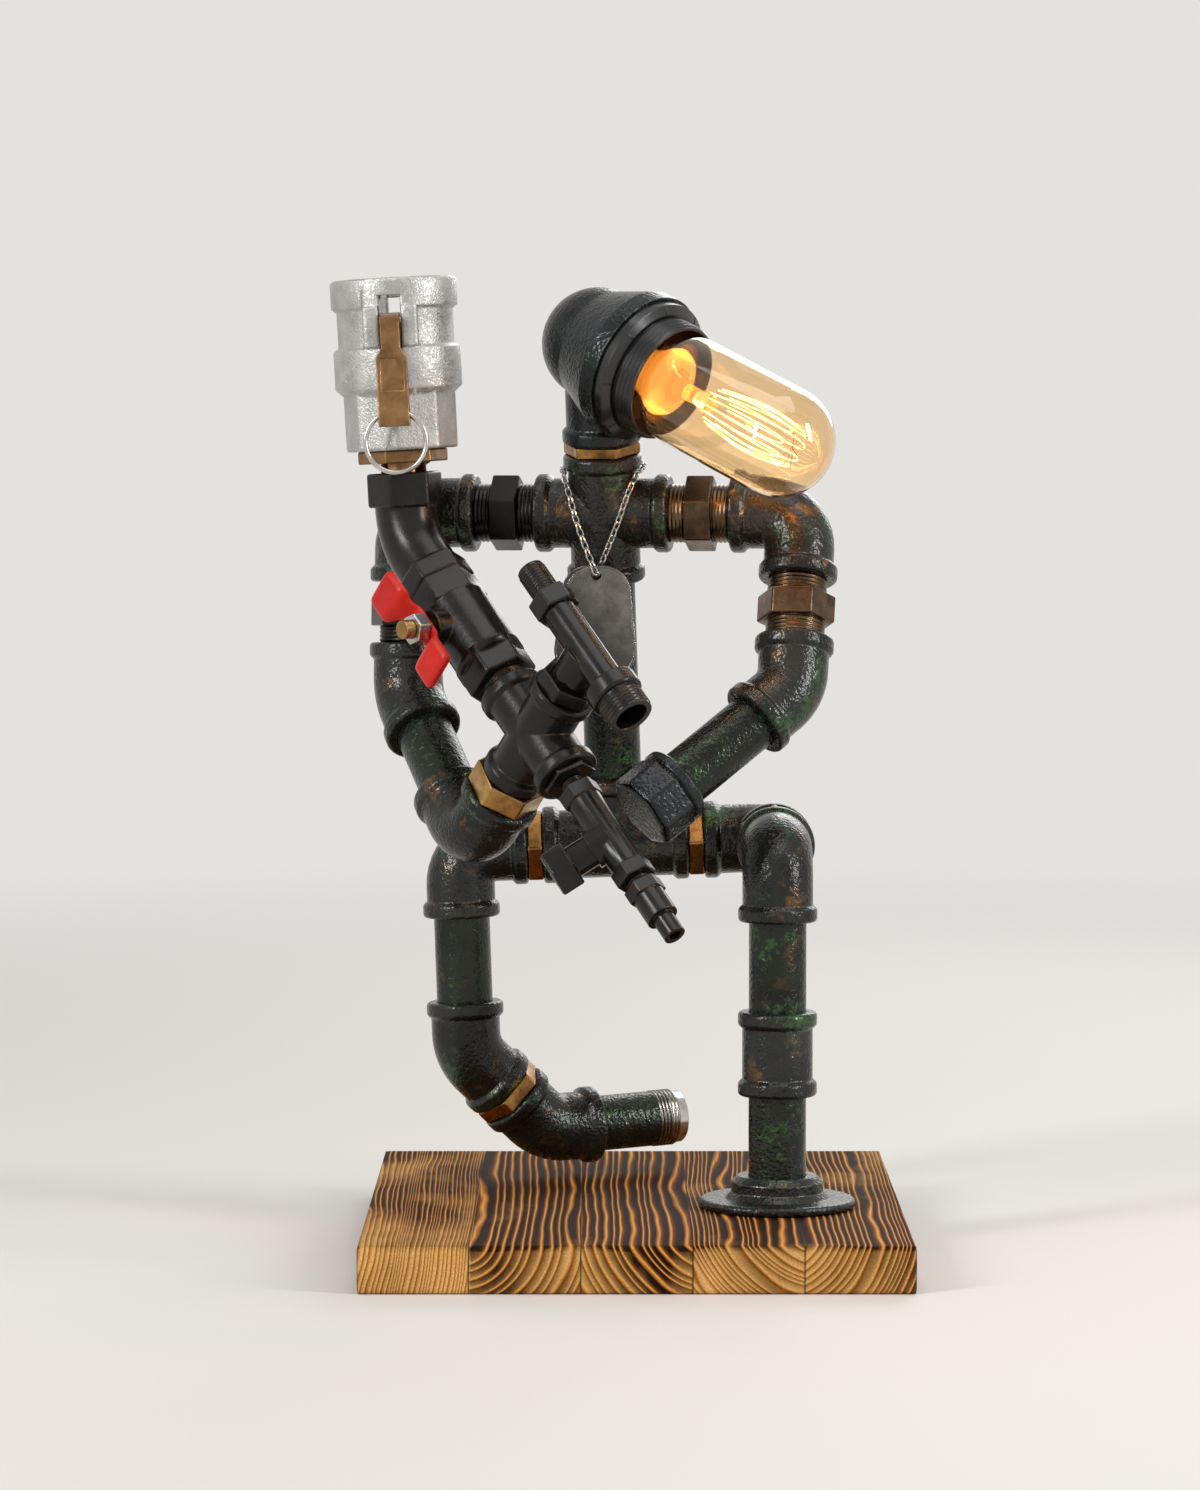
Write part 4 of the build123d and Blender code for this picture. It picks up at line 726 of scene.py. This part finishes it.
# Grip ribs on the sloping face of the lamp holder's ring, which rises 2 mm while it narrows by 4 mm
rib_count, rib_size, rib_round = 8, (3.6 * mm, 0.9 * mm, 0.7 * mm, 1.0), 0.2 * mm
rib_place = Matrix.Translation(Vector((32.0, 0, 6.0)) * mm)
rib_lean = Matrix.Rotation(-math.atan2(2.0, -4.0), 4, "Y")
ribs = bmesh.new()
for count in range(rib_count):
    before = len(ribs.verts)
    bmesh.ops.create_cube(ribs, size=1.0)
    ribs.verts.ensure_lookup_table()
    around = Matrix.Rotation(2 * math.pi * count / rib_count, 4, "Z")
    laid = around @ rib_place @ rib_lean @ Matrix.Diagonal(rib_size)
    bmesh.ops.transform(ribs, matrix=laid, verts=ribs.verts[before:])
bmesh.ops.bevel(
    ribs,
    geom=ribs.edges[:],
    offset=rib_round,
    offset_type="OFFSET",
    affect="EDGES",
    segments=2,
    profile=0.5,
    material=-1,
)
piece("holder_ribs", ribs, head_mouth, "frame", holder_black)

# Handle: a bent strip dipped in red plastic, its two wings thick and round at the edges. Sizes in mm from
# the stem's axis outwards, levels along it
wing_reach, tip_round = 29.3, 2.5
bend_start, bend_run = 7.4, 9.0
widen_start, widen_run = 12.0, 2.6
hub_half, wing_half = 5.6, 10.8
hub_thick, wing_thick = 2.4, 5.0
hub_level, wing_rise = 24.8, 8.2
rim_width, rim_thin_share = 1.2, 0.4
grip = bmesh.new()
bmesh.ops.create_grid(grip, x_segments=40, y_segments=8, size=1.0)
raised = bmesh.ops.extrude_face_region(grip, geom=grip.faces[:])
upper = {made for made in raised["geom"] if isinstance(made, bmesh.types.BMVert)}
for vert in grip.verts:
    reach, side = abs(vert.co.x) * wing_reach, vert.co.y
    rise = min(max((reach - bend_start) / bend_run, 0.0), 1.0)
    rise = rise * rise * (3 - 2 * rise)
    widened = min(max((reach - widen_start) / widen_run, 0.0), 1.0)
    half = hub_half + (wing_half - hub_half) * widened
    past = reach - (wing_reach - tip_round)
    if past > 0:
        half -= tip_round - math.sqrt(max(tip_round**2 - past**2, 0.0))
    rim = max(abs(side) * half - half + rim_width, reach - wing_reach + rim_width, 0.0) / rim_width
    thick = (hub_thick + (wing_thick - hub_thick) * rise) * (1 - rim_thin_share * rim * rim)
    level = hub_level + wing_rise * rise + (thick / 2 if vert in upper else -thick / 2)
    vert.co = Vector((math.copysign(reach, vert.co.x), side * half, level)) * mm
handle = piece("handle_grip", grip, handle_axis, "valve", red, ["valve_handle"])
soften = handle.modifiers.new("soft_edges", "SUBSURF")
soften.levels = soften.render_levels = 1

# Bulb: blown glass, the stem that carries the wires, the wires and their supports
bulb_radius, bulb_end, bulb_wall = 26.0, 111.0, 0.9
crown_foot = bulb_end - bulb_radius
glass_foot = [(12.2, -21.2), (12.2, 0.0), (13.0, 4.0), (15.8, 9.0)]
glass_foot += [(20.2, 14.5), (23.8, 19.0), (25.5, 22.5), (bulb_radius, 26.0)]
turns = [math.radians(turn) for turn in range(0, 90, 6)]
crown = [(bulb_radius * math.cos(turn), bulb_radius * math.sin(turn)) for turn in turns]
outside = glass_foot + [(r, crown_foot + z) for r, z in crown] + [(0.0, bulb_end)]
thin = 1 - bulb_wall / bulb_radius
inside = [(r - bulb_wall, z) for r, z in glass_foot]
inside += [(r * thin, crown_foot + z * thin) for r, z in crown] + [(0.0, bulb_end - bulb_wall)]
envelope = turned(outside[::-1] + inside, 96)
piece("bulb_envelope", envelope, bulb_seat, "bulb", bulb_tint, ["bulb_glass"])

stem_line = [(0.0, -18.0), (10.6, -18.0), (10.6, 1.0), (11.4, 5.0), (13.6, 9.5), (16.2, 13.0)]
stem_line += [(16.8, 15.5), (15.6, 18.2), (12.4, 20.6), (8.4, 22.6), (5.4, 25.0), (4.0, 28.5)]
stem_line += [(3.8, 35.0), (5.0, 38.5), (5.2, 40.5), (4.0, 43.0), (0.0, 44.0)]
# The stem glows with a painted orange glow, for the light of the wires caught in its glass
piece("bulb_stem", turned(stem_line, 48), bulb_seat, "bulb", glowing_stem_finish, ["filament"])


def smooth_line(name, runs, between_points, thickness=0.0):
    """A mesh along smooth runs of points in mm, as a bare line or as a round wire of this radius."""
    curve = bpy.data.curves.new(name, "CURVE")
    curve.dimensions = "3D"
    curve.bevel_depth = thickness * mm
    curve.bevel_resolution = 2
    curve.resolution_u = between_points
    for run in runs:
        spline = curve.splines.new("NURBS")
        spline.points.add(len(run) - 1)
        for dot, place in zip(spline.points, run):
            dot.co = (*(Vector(place) * mm), 1.0)
        spline.use_endpoint_u = True
        spline.order_u = 3
    holder = bpy.data.objects.new(name, curve)
    mesh = bpy.data.meshes.new_from_object(holder)
    bpy.data.objects.remove(holder)
    return mesh


def on_ring(radius, angle, height):
    """A point of the bulb's wires, around its axis."""
    return (radius * math.cos(angle), radius * math.sin(angle), height)


pin_count, pin_low, pin_high, pin_radius, hook_radius = 9, 46.0, 94.0, 9.0, 5.0
pin_leg = ((pin_radius, pin_low), (11.4, pin_low + 16), (11.8, pin_high - 18), (10.0, pin_high - 3))
leg_share = 0.27  # how far each leg stands from its hairpin's middle, of the way to the next hairpin
spread = 2 * math.pi / pin_count * leg_share
hairpins, posts = [], []
for pin in range(pin_count):
    angle = 2 * math.pi * pin / pin_count
    legs = [[on_ring(r, angle + way * spread, z) for r, z in pin_leg] for way in (-1, 1)]
    tip, foot = on_ring(pin_radius, angle, pin_high), on_ring(pin_radius, angle + spread, pin_low)
    hairpins.append(legs[0] + [tip] + legs[1][::-1])
    posts.append([(0, 0, 93.0), on_ring(hook_radius, angle, 95.0), tip])
    posts.append([(0, 0, 41.5), on_ring(hook_radius, angle + spread, 43.0), foot])
posts.append([(0, 0, 42.0), (0, 0, 68.0), (0, 0, 94.0)])
for name, runs, thickness, finish, slot in (
    ("filament_hairpins", hairpins, 0.26, wire, "filament"),
    ("filament_supports", posts, 0.2, steel, "steel"),
):
    shape = bmesh.new()
    shape.from_mesh(smooth_line(name + "_line", runs, 6, thickness))
    piece(name, shape, bulb_seat, "bulb", finish)

# Chain: oval links threaded along the route round the neck and through the tags
chain_route = [
    (-18.105, -2.848, 316.936),
    (-9.044, -8.502, 337.958),
    (-4.278, -7.017, 352.897),
    (0.974, -2.72, 364.983),
    (5.253, 11.266, 367.98),
    (0.993, 24.988, 370.625),
    (-24.759, 29.435, 370.63),
    (-33.375, 17.936, 367.989),
    (-34.035, 3.325, 364.991),
    (-30.535, -2.483, 352.903),
    (-26.549, -5.48, 337.962),
    (-18.105, -13.748, 316.936),
]


def link_shape():
    """One welded link of round wire: a ring pulled out to an oval."""
    wire_radius, bow_radius, pulled = 0.42 * mm, 1.42 * mm, 0.72 * mm
    shape = bmesh.new()
    section = bmesh.ops.create_circle(
        shape,
        segments=6,
        radius=wire_radius,
        matrix=Matrix.Translation((bow_radius, 0, 0)) @ Matrix.Rotation(math.pi / 2, 4, "X"),
    )
    rim = list({edge for vert in section["verts"] for edge in vert.link_edges})
    bmesh.ops.spin(
        shape,
        geom=section["verts"] + rim,
        cent=(0, 0, 0),
        axis=(0, 0, 1),
        angle=2 * math.pi,
        steps=14,
        use_merge=True,
    )
    for way in (-1, 1):
        ends = [vert for vert in shape.verts if vert.co.x * way > 100 * same_point]
        bmesh.ops.translate(shape, verts=ends, vec=(way * pulled, 0, 0))
    return shape


one_link = bpy.data.meshes.new("link")
link = link_shape()
link.to_mesh(one_link)
link.free()
dots = [vert.co.copy() for vert in smooth_line("chain_path", [chain_route], 24).vertices]
pitch = 3.35 * mm
chain = bmesh.new()
walked, due, count, up = 0.0, pitch / 2, 0, Vector((0, -1, 0))
for here, there in zip(dots, dots[1:]):
    step = (there - here).length
    while due <= walked + step:
        along = (there - here).normalized()
        up = (up - along * up.dot(along)).normalized()
        lean = Matrix((along, up, along.cross(up))).transposed().to_4x4()
        spot = Matrix.Translation(here.lerp(there, (due - walked) / step))
        before = len(chain.verts)
        chain.from_mesh(one_link)
        chain.verts.ensure_lookup_table()
        twist = Matrix.Rotation(math.radians(45 + 90 * (count % 2)), 4, "X")
        bmesh.ops.transform(chain, matrix=spot @ lean @ twist, verts=chain.verts[before:])
        due += pitch
        count += 1
    walked += step
piece("chain_links", chain, Matrix.Identity(4), "frame", wire_steel, ["neck_chain"])

# Stage: a pale floor that fades into the backdrop, soft boxes, the bulb's light and the camera
backdrop, backdrop_level, fill_level = tone("#f1efec"), 0.88, 0.4
floor_radius, fade_start, fade_end = 9.0, 0.35, 2.2
floor_shape = bmesh.new()
bmesh.ops.create_circle(floor_shape, cap_ends=True, segments=96, radius=floor_radius)
floor_mesh = bpy.data.meshes.new("floor")
floor_shape.to_mesh(floor_mesh)
floor_shape.free()
floor_finish, floor_tree, floor_place = new_finish("pale_floor")
floor_shader = add(floor_tree, "BsdfPrincipled", {"Base Color": tone("#e4e1dc"), "Roughness": 0.75})
far_shader = add(floor_tree, "Emission", {"Color": backdrop, "Strength": backdrop_level})
distance = add(floor_tree, "VectorMath", {0: floor_place}, operation="LENGTH")
far = add(
    floor_tree,
    "MapRange",
    {"Value": distance.outputs["Value"], 1: fade_start, 2: fade_end, 3: 0.0, 4: 1.0},
    interpolation_type="SMOOTHSTEP",
)
# The far floor glows for the eye and for reflections, and doesn't light the figure
floor_ray = add(floor_tree, "LightPath")
looked_at = add(floor_tree, "Math", {0: 1.0, 1: floor_ray.outputs["Is Diffuse Ray"]}, operation="SUBTRACT")
far_seen = add(floor_tree, "Math", {0: far.outputs[0], 1: looked_at.outputs[0]}, operation="MULTIPLY")
floor_mix = add(
    floor_tree, "MixShader", {0: far_seen.outputs[0], 1: floor_shader.outputs[0], 2: far_shader.outputs[0]}
)
add(floor_tree, "OutputMaterial", {"Surface": floor_mix.outputs[0]})
floor_mesh.materials.append(floor_finish)
floor = bpy.data.objects.new("floor", floor_mesh)
scene.collection.objects.link(floor)

# The room is at the backdrop's level where it is seen or mirrored, and dimmer as a light
world = bpy.data.worlds.new("studio")
scene.world = world
world.use_nodes = True
sky = world.node_tree
sky.nodes.clear()
ray = add(sky, "LightPath")
seen = ray.outputs["Is Camera Ray"]
for kind in ("Is Transmission Ray", "Is Glossy Ray"):
    seen = add(sky, "Math", {0: seen, 1: ray.outputs[kind]}, operation="ADD").outputs[0]
seen_once = add(sky, "Math", {0: seen, 1: 1.0}, operation="MINIMUM")
level = add(
    sky, "MapRange", {"Value": seen_once.outputs[0], 1: 0.0, 2: 1.0, 3: fill_level, 4: backdrop_level}
)
back = add(sky, "Background", {"Color": backdrop, "Strength": level.outputs[0]})
add(sky, "OutputWorld", {"Surface": back.outputs[0]})

# Soft boxes face the middle of the figure: place in metres, watts, width and height
figure_middle = Vector((0, 0, 0.23))
for name, place, power, width, height in (
    ("left_box", (-1.45, -1.2, 1.05), 19.0, 0.28, 0.95),
    ("right_box", (1.5, -0.75, 0.8), 14.0, 0.26, 0.9),
    ("top_box", (0.1, -0.3, 1.7), 6.0, 1.0, 1.0),
    ("back_box", (0.5, 1.4, 1.0), 8.0, 0.9, 0.9),
):
    lamp = bpy.data.lights.new(name, "AREA")
    lamp.shape = "RECTANGLE"
    lamp.size, lamp.size_y = width, height
    lamp.energy = power
    box = bpy.data.objects.new(name, lamp)
    box.location = place
    box.rotation_euler = (figure_middle - Vector(place)).to_track_quat("-Z", "Y").to_euler()
    scene.collection.objects.link(box)

# The light of the wires, from the middle of the bulb
glow = bpy.data.lights.new("bulb_glow", "POINT")
glow.energy = 0.35
glow.color = tone("#ffae52")[:3]
glow.shadow_soft_size = 12 * mm
glow_spot = bpy.data.objects.new("bulb_glow", glow)
glow_spot.location = bulb_seat @ Vector((0, 0, 70 * mm))
glow_spot.visible_camera = False
glow_spot.visible_glossy = False
glow_spot.visible_transmission = False
scene.collection.objects.link(glow_spot)

# The camera was fitted to the photograph from the base and the fittings
view = bpy.data.cameras.new("photo_view")
view.sensor_fit = "VERTICAL"
view.sensor_height = 36.0
view.lens = 122.46
view.clip_start = 0.05
camera = bpy.data.objects.new("photo_view", view)
camera.location = (-0.0164, -2.39, 0.385)
camera.rotation_euler = (math.radians(86.44), 0, 0)
scene.collection.objects.link(camera)
scene.camera = camera
